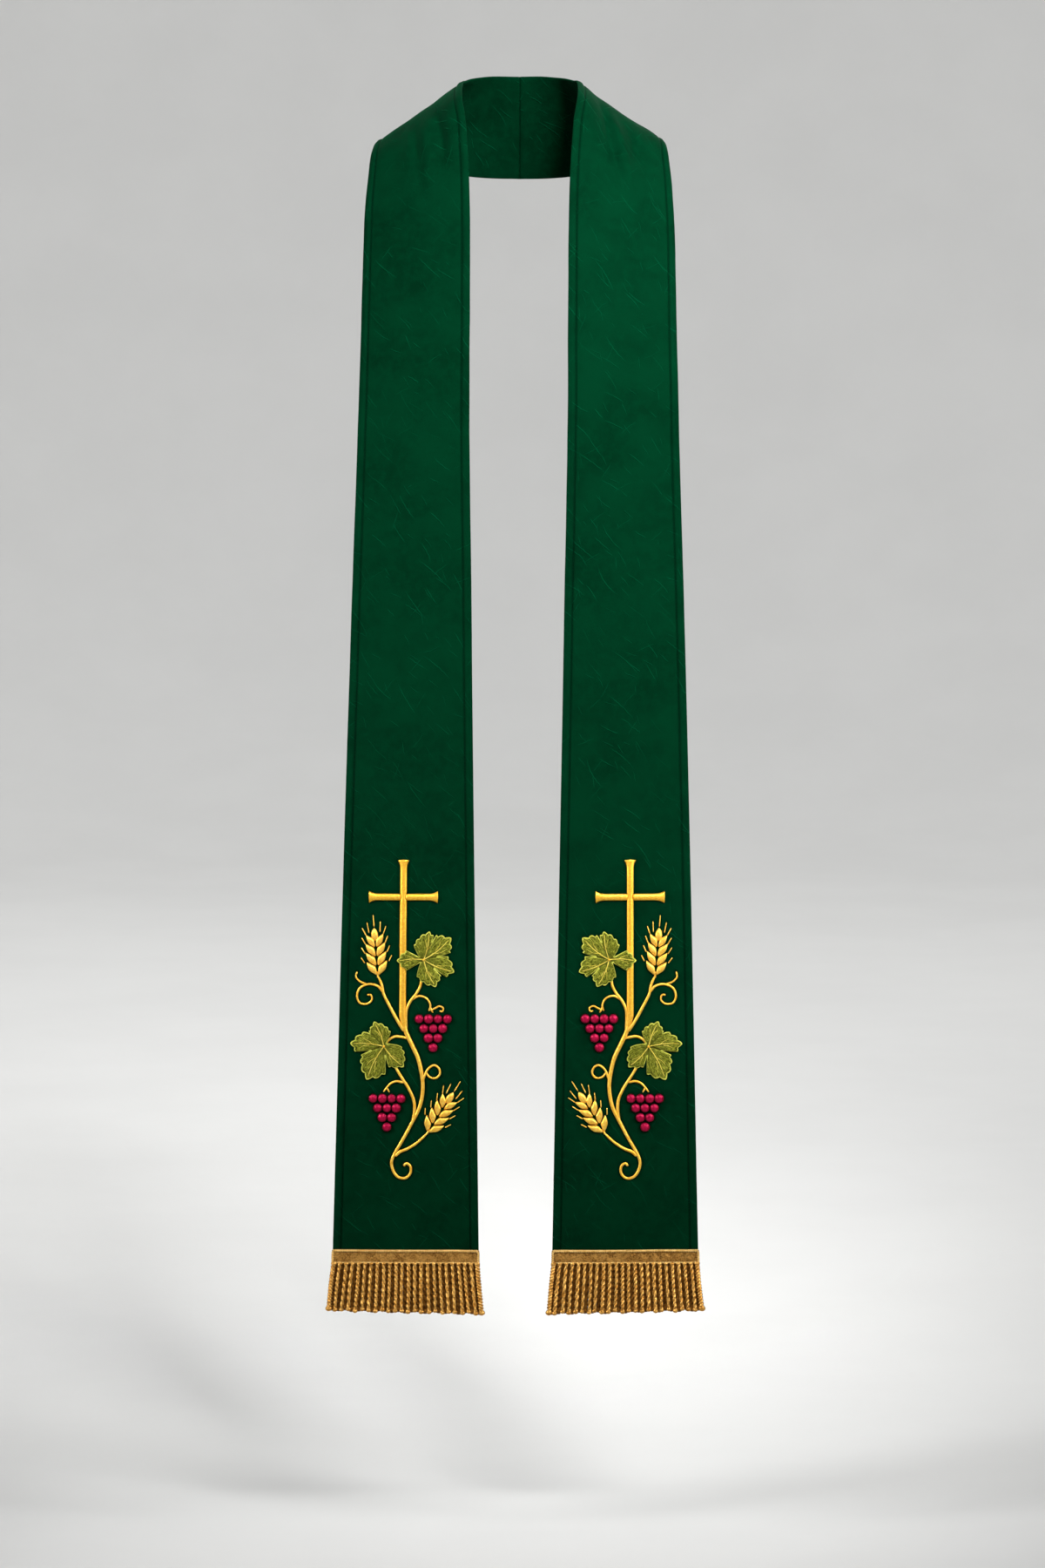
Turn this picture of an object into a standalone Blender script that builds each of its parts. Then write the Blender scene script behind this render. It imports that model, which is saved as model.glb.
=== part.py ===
# A clerical stole as it is worn: round the back of the neck, over both shoulders and down the front.
# The front faces -Y and +Z is up. The origin is the middle of the neck, level with the tops of the
# shoulders where the stole rests. Left and right are as seen from the front.

import math

import bmesh
import bpy
from mathutils import Vector

MM = 0.001

# Driving sizes, in metres
WALL = 0.0020
PIECE_GAP = 0.0003
EDGE_ROUND = 0.0006
HEM_SWAY = -0.0045
CLOTH_CELLS_ACROSS = 8
YOKE_LENGTH = 0.330
YOKE_ROW = 0.012
HANG_ROW = 0.024
SLOPE_STEP = 0.0005
SLOPE_SHARE = 0.01
SHARP_ANGLE = 50

# The left half is the mirror of the right half, but for its own folds.
LEFT = -1
RIGHT = 1

# Half of the worn stole, as sections from the neck seam to the hem, in millimetres. The inner edge is
# beside the neck and the outer edge is out on the shoulder. The bulge lifts the middle off the wearer.
SECTION_COLUMNS = ("name", "inner_x", "inner_y", "inner_z", "outer_x", "outer_y", "outer_z", "bulge")
SECTIONS = (
    ("neck_seam", 0, 66, 8, 0, 100, -94, 1),
    ("back_of_neck", 23, 62, 8, 50, 96, -92, 3),
    ("back_turn", 43, 48, 6, 97, 80, -84, 5),
    ("behind_shoulder", 55, 27, 3, 130, 47, -72, 1),
    ("shoulder_top", 59, 2, 0, 144, 8, -60, 0),
    ("shoulder_front", 59, -28, -15, 149, -16, -70, 0),
    ("collarbone", 55, -51, -42, 152, -34, -93, 2),
    ("upper_chest", 51, -82, -108, 155, -57, -137, 4),
    ("chest", 50, -107, -216, 157, -82, -224, 5),
    ("under_chest", 50, -120, -340, 160, -101, -340, 4),
    ("waist", 47, -130, -560, 167, -120, -560, 3),
    ("hip", 43, -140, -840, 175, -136, -840, 2),
    ("hem", 38, -151, -1184, 184, -148, -1184, 1),
)

# Soft folds as troughs between two ends. The along columns are millimetres from the neck seam, the
# across columns run from 0 at the inner edge to 1 at the outer edge, and a ridge has a negative depth.
# A fold keeps its depth over the middle share of its length and fades over the next share at each end.
FOLD_FULL = 0.25
FOLD_FADE = 0.35
FOLD_COLUMNS = ("name", "half", "along", "across", "to_along", "to_across", "half_width", "depth")
FOLDS = (
    ("left_neck_fold", LEFT, 150, 0.34, 218, 0.26, 9, 2.2),
    ("left_neck_roll", LEFT, 160, 0.12, 232, 0.14, 9, -1.2),
    ("left_shoulder_fold", LEFT, 158, 0.66, 215, 0.74, 12, 1.6),
    ("right_neck_fold", RIGHT, 146, 0.24, 236, 0.46, 9, 2.4),
    ("right_shoulder_fold", RIGHT, 160, 0.52, 206, 0.66, 10, 1.8),
    ("right_neck_roll", RIGHT, 165, 0.10, 240, 0.16, 9, -1.2),
    ("right_shoulder_roll", RIGHT, 110, 0.80, 175, 0.88, 15, -2.4),
    ("left_back_fold", LEFT, 40, 0.30, 112, 0.62, 10, 2.0),
    ("right_back_fold", RIGHT, 48, 0.36, 118, 0.58, 10, 1.8),
    ("left_waist_wave", LEFT, 610, 0.05, 760, 0.80, 50, 3.0),
    ("left_hip_wave", LEFT, 1100, 0.95, 1300, 0.20, 60, 2.6),
    ("right_waist_wave", RIGHT, 520, 0.90, 700, 0.15, 50, 3.0),
    ("right_hip_wave", RIGHT, 1080, 0.10, 1290, 0.85, 60, 2.6),
)

# Fringe, in metres
HEADING_HEIGHT = 0.0140
HEADING_DEPTH = 0.0016
HEADING_OVERHANG = 0.0015
HEADING_CELLS = 10
LIP_HEIGHT = 0.0030
STRAND_LENGTH = 0.0510
STRAND_SIZE = 0.0034
STRAND_ROW_GAP = 0.0033
STRAND_ROOT = 0.0018
STRANDS_IN_FRONT = 24
STRANDS_BEHIND = 23
STRAND_FLARE = 0.0045
STRAND_UNEVEN = 0.0012
STRAND_TIP = 0.85
LENGTH_BEAT = 2.4
DRIFT_BEAT = 1.7

# The ornament's own plan, in metres: x runs to the stole's outer edge, y runs up, and its origin is the
# foot of the cross.
FOOT_ABOVE_HEM = 0.2440
FOOT_TO_OUTER_SIDE = 0.0050

CROSS_ABOVE_FOOT = 0.1630
CROSS_BAR_LEVEL = 0.1250
CROSS_BAR_REACH = 0.0350
CROSS_WIDTH = 0.0070
CROSS_END_WIDTH = 0.0120
CROSS_FLARE = 0.0090
CROSS_FOOT_LEVEL = -0.0040
CROSS_HEIGHT = 0.0012
CROSS_STEM_CELLS = 8

LEAF_HEIGHT = 0.0023
LEAF_EDGE = 0.0012
GRAPE_RADIUS = 0.0051
GRAPE_HEIGHT = 0.0026
GRAPE_PITCH_ACROSS = 0.0094
GRAPE_PITCH_DOWN = 0.0097
GRAPE_ROWS = (4, 3, 2, 1)
GRAPE_UNEVEN = 0.03
GRAPE_SIDES = 8
GRAPE_LEVELS = 4
GRAPE_FOOT = 0.00002
GRAPE_PAD_HEIGHT = 0.0010
GRAPE_PAD_RISE = 0.0010
GRAPE_PAD_EDGE = 0.0001
KERNEL_PAIRS = 4
KERNEL_LENGTH = 0.0165
KERNEL_SHORTENING = 0.0008
KERNEL_WIDTH = 0.0064
KERNEL_HEIGHT = 0.0020
KERNEL_PITCH = 0.0094
KERNEL_LEAN = 40
KERNEL_LEAN_FALL = 3
KERNEL_OFF_AXIS = 0.0010
KERNEL_FIRST_LEVEL = 0.0010
TOP_KERNEL_DROP = 0.0020
# Width along a grain as a share of its greatest, its section, and the least share of its height.
KERNEL_PROFILE = ((0, 0.30), (0.30, 1), (0.70, 0.75), (1, 0.10))
KERNEL_SECTION = ((-1, 0), (1, 0), (0.8, 0.6), (0, 1), (-0.8, 0.6))
KERNEL_LEAST_HEIGHT = 0.35
RACHIS_WIDTH = 2.4
RACHIS_FOOT = 2
STROKE_HEIGHT = 0.0015
STROKE_STEP = 0.0065
STROKE_STAGGER = 0.00003
STROKE_SECTION = ((-1, 0), (1, 0), (0.7, 0.75), (0, 1), (-0.7, 0.75))
CUTTER_REACH = 0.010

# Leaf lobes, counter-clockwise: degrees from the leaf's longest lobe and reach of the lobe, then of the
# notch after it, in millimetres.
LOBE_COLUMNS = ("leaf", "degrees", "reach", "notch_degrees", "notch")
LOBES = (
    ("upper_leaf", 0, 35, 27, 13),
    ("upper_leaf", 61, 33, 79, 13),
    ("upper_leaf", 105, 30, 179, 4),
    ("upper_leaf", 217, 27, 250, 5),
    ("upper_leaf", 320, 29, 333, 19),
    ("lower_leaf", 0, 38, 45, 13),
    ("lower_leaf", 68, 34, 106, 19),
    ("lower_leaf", 132, 27, 193, 4),
    ("lower_leaf", 289, 29, 323, 9),
)
# The teeth along a lobe's sides: degrees between them, the least that is left for one more, the degrees
# kept free at a notch, the share of reach lost with each degree, and the depth of the dips between them.
TOOTH_STEP = 15
TOOTH_ROOM = 8
NOTCH_CUT = 3
MOST_TEETH = 3
TOOTH_FALL = 0.0085
DIP_DEPTH = 0.07

# Each motif's place on the plan, in millimetres and degrees; turn is from straight up, counter-clockwise.
PLACE_COLUMNS = ("name", "x", "y", "turn")
PLACES = (
    ("upper_leaf", -21, 62, 51),
    ("lower_leaf", 18.5, -26, -153),
    ("upper_grapes", -31, 2, 0),
    ("lower_grapes", 15, -79, 0),
    ("upper_wheat", 25, 45, -5),
    ("lower_wheat", -26, -114, 32),
)

# The vine's strokes on the plan, in millimetres: first and last widths, then the points passed through.
STROKE_COLUMNS = ("name", "first_width", "last_width", "points")
STROKES = (
    ("main_vine", 4.6, 2.6, ((-1, -2), (-4, -12), (-10, -25), (-16, -38), (-20, -55), (-21, -70),
                             (-18, -87), (-10, -104), (-1, -121), (7, -135), (10, -144), (8, -153),
                             (3, -159), (-4, -160), (-9, -155), (-9, -148), (-5, -145), (-2, -148))),
    ("wheat_stem", 2.4, 3.6, ((24.5, 44.6), (21, 36), (19, 27), (13, 15), (6, 2), (-2, -11))),
    ("leaf_stalk", 2.6, 3.2, ((-19, 44), (-18, 36), (-14, 28), (-8, 20), (-4, 11), (-3.5, 0), (-4, -10))),
    ("grape_stem", 2.4, 1.8, ((-9, 21), (-16, 25), (-24, 23), (-28, 16), (-26.5, 9.5))),
    ("grape_fork", 2.4, 1.8, ((-27.6, 15), (-29, 11), (-31, 8))),
    ("grape_tendril", 2.0, 1.6, ((-29, 11), (-33, 13), (-37, 15), (-41, 13), (-40, 9.5), (-37, 10.5))),
    ("tendril", 2.6, 1.8, ((20, 29), (25, 35), (34, 37), (43, 33), (46, 25), (43, 18), (36, 17),
                           (31, 21), (32, 26), (36, 26))),
    ("tendril_tip", 2.2, 1.6, ((36, 37), (42, 39), (47, 44), (46, 50))),
    ("lower_leaf_stalk", 3.0, 2.4, ((-6, -18), (0, -16.5), (7, -16), (13, -19), (17, -24))),
    ("branch", 2.8, 3.2, ((9, -39), (6, -48), (0, -58), (-7, -69), (-12, -81), (-12, -97))),
    ("lower_grape_stem", 2.6, 1.8, ((-2, -63), (5, -61.5), (11, -63.5), (15, -67.5), (19, -72.8))),
    ("lower_grape_fork", 2.2, 1.6, ((15.5, -68), (14, -70.5), (12.6, -73.2))),
    ("loop", 2.4, 2.0, ((-20, -66), (-22, -58), (-26, -49), (-32, -45), (-37, -48), (-38, -54),
                        (-34, -58), (-28, -57), (-24, -52))),
    ("lower_wheat_stem", 3.4, 2.4, ((8, -139), (2, -133), (-6, -130), (-14, -125), (-20, -120),
                                    (-25.3, -114.6))),
)

# Colour, roughness and metallic value of each material
GREEN_CLOTH = (0.004, 0.045, 0.020, 1.0)
GOLD_BULLION = (0.45, 0.24, 0.05, 1.0)
GOLD_THREAD = (0.72, 0.42, 0.05, 1.0)
LEAF_THREAD = (0.20, 0.23, 0.03, 1.0)
GRAPE_THREAD = (0.45, 0.01, 0.06, 1.0)
CLOTH_ROUGHNESS = 0.75
THREAD_ROUGHNESS = 0.45
METAL_OF_GOLD = 0.2


def named_rows(columns, rows):
    return [dict(zip(columns, row)) for row in rows]


def smooth(values, knots, at):
    # Cubic through the values, with each slope taken from the neighbours on both sides.
    last = len(knots) - 2
    k = 1
    while k < last - 1 and at > knots[k + 1]:
        k += 1
    span = knots[k + 1] - knots[k]
    t = (at - knots[k]) / span
    slope_here = (values[k + 1] - values[k - 1]) / (knots[k + 1] - knots[k - 1])
    slope_next = (values[k + 2] - values[k]) / (knots[k + 2] - knots[k])
    return (
        values[k] * (2 * t**3 - 3 * t**2 + 1)
        + slope_here * span * (t**3 - 2 * t**2 + t)
        + values[k + 1] * (3 * t**2 - 2 * t**3)
        + slope_next * span * (t**3 - t**2)
    )


class Sections:
    # The edges of the right half. A mirrored row before the seam makes the two halves meet square, and a
    # row past the hem carries the last slope on.
    def __init__(self):
        rows = named_rows(SECTION_COLUMNS, SECTIONS)
        self.inner = [Vector((r["inner_x"], r["inner_y"], r["inner_z"])) * MM for r in rows]
        self.outer = [Vector((r["outer_x"], r["outer_y"], r["outer_z"])) * MM for r in rows]
        self.bulge = [r["bulge"] * MM for r in rows]
        for edge in (self.inner, self.outer):
            before = edge[1].copy()
            before.x = -before.x
            edge.insert(0, before)
            edge.append(2 * edge[-1] - edge[-2])
        self.bulge.insert(0, self.bulge[1])
        self.bulge.append(self.bulge[-1])
        middle = [(a + b) / 2 for a, b in zip(self.inner, self.outer)]
        self.knots = [-(middle[1] - middle[0]).length]
        for a, b in zip(middle[:-1], middle[1:]):
            self.knots.append(self.knots[-1] + (b - a).length)
        self.length = self.knots[-2]

    def at(self, along):
        inner = smooth(self.inner, self.knots, along)
        outer = smooth(self.outer, self.knots, along)
        return inner, outer, smooth(self.bulge, self.knots, along)


SHAPE = Sections()
FOLD_ROWS = named_rows(FOLD_COLUMNS, FOLDS)


def fold_depth(half, along, across, width):
    total = 0.0
    for fold in FOLD_ROWS:
        if fold["half"] != half:
            continue
        start = Vector((fold["along"] * MM, fold["across"] * width))
        end = Vector((fold["to_along"] * MM, fold["to_across"] * width))
        run = end - start
        offset = Vector((along, across * width)) - start
        t = offset.dot(run) / run.length_squared
        beside = (offset - t * run).length / (fold["half_width"] * MM)
        past = max(0.0, abs(t - 0.5) - FOLD_FULL) / FOLD_FADE
        total += fold["depth"] * MM * math.exp(-beside**2 - past**2)
    return total


def plain_point(half, along, across):
    inner, outer, bulge = SHAPE.at(along)
    chord = outer - inner
    below, above = SHAPE.at(along + SLOPE_STEP), SHAPE.at(along - SLOPE_STEP)
    down = below[0] + below[1] - above[0] - above[1]
    away = down.cross(chord).normalized()
    lift = bulge * 4 * across * (1 - across) - fold_depth(half, along, across, chord.length)
    point = inner + chord * across + away * lift
    drop = max(0.0, -point.z) / -SHAPE.outer[-2].z
    return Vector((half * point.x + HEM_SWAY * drop, point.y, point.z))


def cloth_point(half, along, across, height=0.0):
    # A point of the cloth's middle surface, moved off it by the height, away from the wearer.
    down = plain_point(half, along + SLOPE_STEP, across) - plain_point(half, along - SLOPE_STEP, across)
    side = plain_point(half, along, across + SLOPE_SHARE) - plain_point(half, along, across - SLOPE_SHARE)
    if along < SLOPE_STEP:
        down = Vector((half, 0, 0))
    away = (half * down.cross(side)).normalized()
    return plain_point(half, along, across) + away * height


def width_at(along):
    inner, outer, _ = SHAPE.at(along)
    return (outer - inner).length


def plan_point(half, x, y, height):
    # A point of the ornament's plan, laid on the cloth's face and moved out by the height.
    along = SHAPE.length - FOOT_ABOVE_HEM - y
    across = 0.5 + (FOOT_TO_OUTER_SIDE + x) / width_at(along)
    return cloth_point(half, along, across, WALL / 2 + PIECE_GAP + height)


def material(name, colour, roughness, metallic=0.0):
    made = bpy.data.materials.new(name)
    made.use_nodes = True
    shader = made.node_tree.nodes["Principled BSDF"]
    shader.inputs["Base Color"].default_value = colour
    shader.inputs["Roughness"].default_value = roughness
    shader.inputs["Metallic"].default_value = metallic
    made.diffuse_color = colour
    return made


def finish(name, bm, look, collection):
    bmesh.ops.recalc_face_normals(bm, faces=bm.faces)
    mesh = bpy.data.meshes.new(name)
    bm.to_mesh(mesh)
    bm.free()
    mesh.materials.append(look)
    mesh.shade_smooth()
    mesh.set_sharp_from_angle(angle=math.radians(SHARP_ANGLE))
    made = bpy.data.objects.new(name, mesh)
    collection.objects.link(made)
    return made


def loft(bm, rings):
    # A closed body through rings of equal counts, with a fan of faces over each end.
    loops = [[bm.verts.new(point) for point in ring] for ring in rings]
    count = len(loops[0])
    for first, second in zip(loops[:-1], loops[1:]):
        for k in range(count):
            after = (k + 1) % count
            bm.faces.new((first[k], first[after], second[after], second[k]))
    for end in (loops[0], loops[-1]):
        cap = bm.faces.new(end)
        bmesh.ops.triangulate(bm, faces=[cap])


def stations():
    rows = round(YOKE_LENGTH / YOKE_ROW)
    yoke = [YOKE_LENGTH * k / rows for k in range(rows)]
    hanging = SHAPE.length - YOKE_LENGTH
    rows = round(hanging / HANG_ROW)
    return yoke + [YOKE_LENGTH + hanging * k / rows for k in range(rows + 1)]


def cloth_ring(half, along):
    # The wall's section: its outer face, a rounded outer edge, its inner face and a rounded inner edge.
    steps = [k / CLOTH_CELLS_ACROSS for k in range(CLOTH_CELLS_ACROSS + 1)]
    face = [cloth_point(half, along, a, WALL / 2) for a in steps]
    back = [cloth_point(half, along, a, -WALL / 2) for a in reversed(steps)]
    past = EDGE_ROUND / width_at(along)
    return face + [cloth_point(half, along, 1 + past)] + back + [cloth_point(half, along, -past)]


def build_cloth(name, half, look, collection):
    bm = bmesh.new()
    rings = [cloth_ring(half, along) for along in stations()]
    for point in rings[0]:
        point.x = half * PIECE_GAP / 2
    count = len(rings[0])
    loops = [[bm.verts.new(point) for point in ring] for ring in rings]
    for first, second in zip(loops[:-1], loops[1:]):
        for k in range(count):
            after = (k + 1) % count
            bm.faces.new((first[k], first[after], second[after], second[k]))
    last = CLOTH_CELLS_ACROSS
    for end in (loops[0], loops[-1]):
        face, back = end[: last + 1], end[2 * last + 2 : last + 1 : -1]
        for k in range(last):
            bm.faces.new((face[k], face[k + 1], back[k + 1], back[k]))
        bm.faces.new((face[last], end[last + 1], back[last]))
        bm.faces.new((face[0], back[0], end[-1]))
    return finish(name, bm, look, collection)


def joined(name, bodies, look, collection):
    # One body from overlapping bodies, by Boolean unions that are applied at once.
    first = bodies[0]
    for other in bodies[1:]:
        modifier = first.modifiers.new("join", "BOOLEAN")
        modifier.operation = "UNION"
        modifier.solver = "EXACT"
        modifier.object = other
    return applied(name, first, bodies[1:], look, collection)


def applied(name, base, others, look, collection):
    bpy.context.view_layer.update()
    graph = bpy.context.evaluated_depsgraph_get()
    mesh = bpy.data.meshes.new_from_object(base.evaluated_get(graph))
    bm = bmesh.new()
    bm.from_mesh(mesh)
    for old in [base] + others:
        bpy.data.objects.remove(old)
    return finish(name, bm, look, collection)


def body(name, bm, collection):
    bmesh.ops.recalc_face_normals(bm, faces=bm.faces)
    mesh = bpy.data.meshes.new(name)
    bm.to_mesh(mesh)
    bm.free()
    made = bpy.data.objects.new(name, mesh)
    collection.objects.link(made)
    return made


def heading_ring(half, across):
    # The tape's section: a plate before the hem with a lip under the cloth's edge.
    end = SHAPE.length
    top = end - HEADING_HEIGHT + LIP_HEIGHT
    low = end + LIP_HEIGHT
    front = WALL / 2 + PIECE_GAP + HEADING_DEPTH
    near = WALL / 2 + PIECE_GAP
    back = front - HEADING_DEPTH - STRAND_ROW_GAP - STRAND_SIZE / 2 + HEADING_DEPTH / 2
    lip = end + 2 * PIECE_GAP
    corners = ((top, front), (low, front), (low, back), (lip, back), (lip, near), (top, near))
    return [cloth_point(half, along, across, height) for along, height in corners]


def strand_rings(half, across, offset, index):
    # A strand hangs from inside the heading and leans out a little towards the hem's ends.
    root = SHAPE.length + LIP_HEIGHT - STRAND_ROOT
    side_step = STRAND_SIZE / 2 / width_at(SHAPE.length)
    lean = (across - 0.5) * 2 * STRAND_FLARE / width_at(SHAPE.length)
    length = STRAND_LENGTH + STRAND_UNEVEN * math.sin(index * LENGTH_BEAT)
    rings = []
    for t, size in ((0, 1), (1, STRAND_TIP)):
        centre = across + lean * t
        along = root + length * t
        drift = STRAND_UNEVEN * math.sin(index * DRIFT_BEAT) * t
        diamond = ((0, 1), (1, 0), (0, -1), (-1, 0))
        ring = []
        for sideways, forward in diamond:
            height = offset + drift + forward * size * STRAND_SIZE / 2
            ring.append(cloth_point(half, along, centre + sideways * size * side_step, height))
        rings.append(ring)
    return rings


def build_fringe(name, half, look, collection):
    bm = bmesh.new()
    over = HEADING_OVERHANG / width_at(SHAPE.length)
    steps = [k / HEADING_CELLS for k in range(HEADING_CELLS + 1)]
    loft(bm, [heading_ring(half, -over + a * (1 + 2 * over)) for a in steps])
    heading = body("heading", bm, collection)
    strands = bmesh.new()
    front = WALL / 2 + PIECE_GAP + HEADING_DEPTH / 2
    margin = STRAND_SIZE / 2 / width_at(SHAPE.length) - over
    pitch = (1 - 2 * margin) / (STRANDS_IN_FRONT - 1)
    for k in range(STRANDS_IN_FRONT):
        loft(strands, strand_rings(half, margin + pitch * k, front, k))
    for k in range(STRANDS_BEHIND):
        loft(strands, strand_rings(half, margin + pitch * (k + 0.5), front - STRAND_ROW_GAP, k + 0.4))
    hanging = body("strands", strands, collection)
    return joined(name, [heading, hanging], look, collection)


def laid(half, made):
    # Moves a body of the plan, whose z is its height off the cloth, onto the cloth's face.
    for vertex in made.data.vertices:
        vertex.co = plan_point(half, *vertex.co)
    bm = bmesh.new()
    bm.from_mesh(made.data)
    bmesh.ops.recalc_face_normals(bm, faces=bm.faces)
    bm.to_mesh(made.data)
    bm.free()
    return made


def offset_outline(outline, inward):
    # The outline moved in by a distance, or out where the distance is negative.
    moved_in = []
    for k, point in enumerate(outline):
        here, after = Vector(point), Vector(outline[(k + 1) % len(outline)])
        before = Vector(outline[k - 1])
        run = ((here - before).normalized() + (after - here).normalized()).normalized()
        moved_in.append(here + Vector((-run.y, run.x)) * inward)
    return moved_in


def padded(bm, outline, centre, height, edge):
    # A raised pad with a flat underside and sloping sides, closed at its centre.
    count = len(outline)
    low = [bm.verts.new((x, y, 0)) for x, y in outline]
    top = [bm.verts.new((x, y, height)) for x, y in offset_outline(outline, edge)]
    crown = bm.verts.new((*centre, height))
    under = bm.verts.new((*centre, 0))
    for k in range(count):
        after = (k + 1) % count
        bm.faces.new((low[k], low[after], top[after], top[k]))
        bm.faces.new((top[k], top[after], crown))
        bm.faces.new((under, low[after], low[k]))


def cutter(outline, collection):
    # A tall block of the outline, grown by the gap between pieces.
    bm = bmesh.new()
    grown = [(x, y, -CUTTER_REACH) for x, y in offset_outline(outline, -PIECE_GAP)]
    base = bm.faces.new([bm.verts.new(point) for point in grown])
    for part in bmesh.ops.extrude_face_region(bm, geom=[base])["geom"]:
        if isinstance(part, bmesh.types.BMVert):
            part.co.z = CUTTER_REACH
    bmesh.ops.triangulate(bm, faces=bm.faces)
    return body("cutter", bm, collection)


def cross_outline():
    # Counter-clockwise, from the foot's right corner; each arm widens over the flare to its end.
    w, e, f = CROSS_WIDTH / 2, CROSS_END_WIDTH / 2, CROSS_FLARE
    top, bar, reach = CROSS_ABOVE_FOOT, CROSS_BAR_LEVEL, CROSS_BAR_REACH
    right = [
        (w, CROSS_FOOT_LEVEL), (w, bar - w), (reach - f, bar - w), (reach, bar - e),
        (reach, bar + e), (reach - f, bar + w), (w, bar + w), (w, top - f), (e, top),
    ]
    return right + [(-x, y) for x, y in reversed(right)]


def build_cross(name, half, look, collection):
    bm = bmesh.new()
    outline = cross_outline()
    low = [bm.verts.new((x, y, 0)) for x, y in outline]
    base = bm.faces.new(low)
    grown = bmesh.ops.extrude_face_region(bm, geom=[base])["geom"]
    for part in grown:
        if isinstance(part, bmesh.types.BMVert):
            part.co.z = CROSS_HEIGHT
    stem = CROSS_BAR_LEVEL - CROSS_FOOT_LEVEL
    for k in range(1, CROSS_STEM_CELLS):
        level = CROSS_FOOT_LEVEL + stem * k / CROSS_STEM_CELLS
        everything = bm.verts[:] + bm.edges[:] + bm.faces[:]
        bmesh.ops.bisect_plane(bm, geom=everything, plane_co=(0, level, 0), plane_no=(0, 1, 0))
    bmesh.ops.triangulate(bm, faces=bm.faces)
    made = laid(half, body(name, bm, collection))
    return applied(name, made, [], look, collection)


def toothed_side(span):
    # Degrees from the lobe's tip and shares of its reach: a dip and a tooth, as often as they fit.
    side = []
    last = 0
    for _ in range(MOST_TEETH):
        tooth = min(last + TOOTH_STEP, span - NOTCH_CUT)
        if tooth - last < TOOTH_ROOM:
            break
        dip = (last + tooth) / 2
        side += [(dip, 1 - TOOTH_FALL * dip - DIP_DEPTH), (tooth, 1 - TOOTH_FALL * tooth)]
        last = tooth
    return side


def leaf_outline(name):
    # Lobe by lobe: the teeth up to its tip, the tip, the teeth down from it and the notch after it.
    lobes = [row for row in named_rows(LOBE_COLUMNS, LOBES) if row["leaf"] == name]
    polar = []
    for k, lobe in enumerate(lobes):
        tip, reach, notch = lobe["degrees"], lobe["reach"], lobe["notch_degrees"]
        before = (tip - lobes[k - 1]["notch_degrees"]) % 360
        polar += [(tip - degrees, reach * share) for degrees, share in reversed(toothed_side(before))]
        polar.append((tip, reach))
        polar += [(tip + degrees, reach * share) for degrees, share in toothed_side(notch - tip)]
        polar.append((notch, lobe["notch"]))
    points = []
    for degrees, reach in polar:
        angle = math.radians(degrees + 90)
        points.append((reach * MM * math.cos(angle), reach * MM * math.sin(angle)))
    return points


def place(name):
    row = next(row for row in named_rows(PLACE_COLUMNS, PLACES) if row["name"] == name)
    return row["x"] * MM, row["y"] * MM, math.radians(row["turn"])


def moved(made, name):
    x, y, turn = place(name)
    c, s = math.cos(turn), math.sin(turn)
    for vertex in made.data.vertices:
        px, py, height = vertex.co
        vertex.co = (x + c * px - s * py, y + s * px + c * py, height)
    return made


def build_leaf(name, place_name, half, look, collection):
    bm = bmesh.new()
    padded(bm, leaf_outline(place_name), (0, 0), LEAF_HEIGHT, LEAF_EDGE)
    leaf = moved(body(name, bm, collection), place_name)
    if place_name == "upper_leaf":
        # The cross's stem runs under this leaf, so the leaf's underside has a channel for it.
        bm = bmesh.new()
        bmesh.ops.create_cube(bm, size=1)
        for vertex in bm.verts:
            vertex.co.x *= CROSS_WIDTH + 2 * PIECE_GAP
            vertex.co.y = CROSS_BAR_LEVEL * (0.5 + vertex.co.y)
            vertex.co.z = (CROSS_HEIGHT + PIECE_GAP) * 2 * vertex.co.z
        channel = body("channel", bm, collection)
        modifier = leaf.modifiers.new("channel", "BOOLEAN")
        modifier.operation = "DIFFERENCE"
        modifier.solver = "EXACT"
        modifier.object = channel
        leaf = applied(name, leaf, [channel], look, collection)
    laid(half, leaf)
    return applied(name, leaf, [], look, collection)


def dome(bm, x, y, radius, height):
    # Half of a ball, flattened to its height, with a flat underside.
    made = bmesh.ops.create_uvsphere(
        bm, u_segments=GRAPE_SIDES, v_segments=GRAPE_LEVELS, radius=radius
    )["verts"]
    geometry = set(made)
    for vertex in made:
        geometry.update(vertex.link_edges)
        geometry.update(vertex.link_faces)
    cut = bmesh.ops.bisect_plane(
        bm, geom=list(geometry), plane_co=(0, 0, GRAPE_FOOT), plane_no=(0, 0, 1), clear_inner=True
    )
    rim = [edge for edge in cut["geom_cut"] if isinstance(edge, bmesh.types.BMEdge)]
    bmesh.ops.edgeloop_fill(bm, edges=rim)
    island = {vertex for edge in rim for vertex in edge.verts}
    grow = list(island)
    while grow:
        vertex = grow.pop()
        for edge in vertex.link_edges:
            other = edge.other_vert(vertex)
            if other not in island:
                island.add(other)
                grow.append(other)
    for vertex in island:
        vertex.co = (vertex.co.x + x, vertex.co.y + y, vertex.co.z * height / radius)


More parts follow.
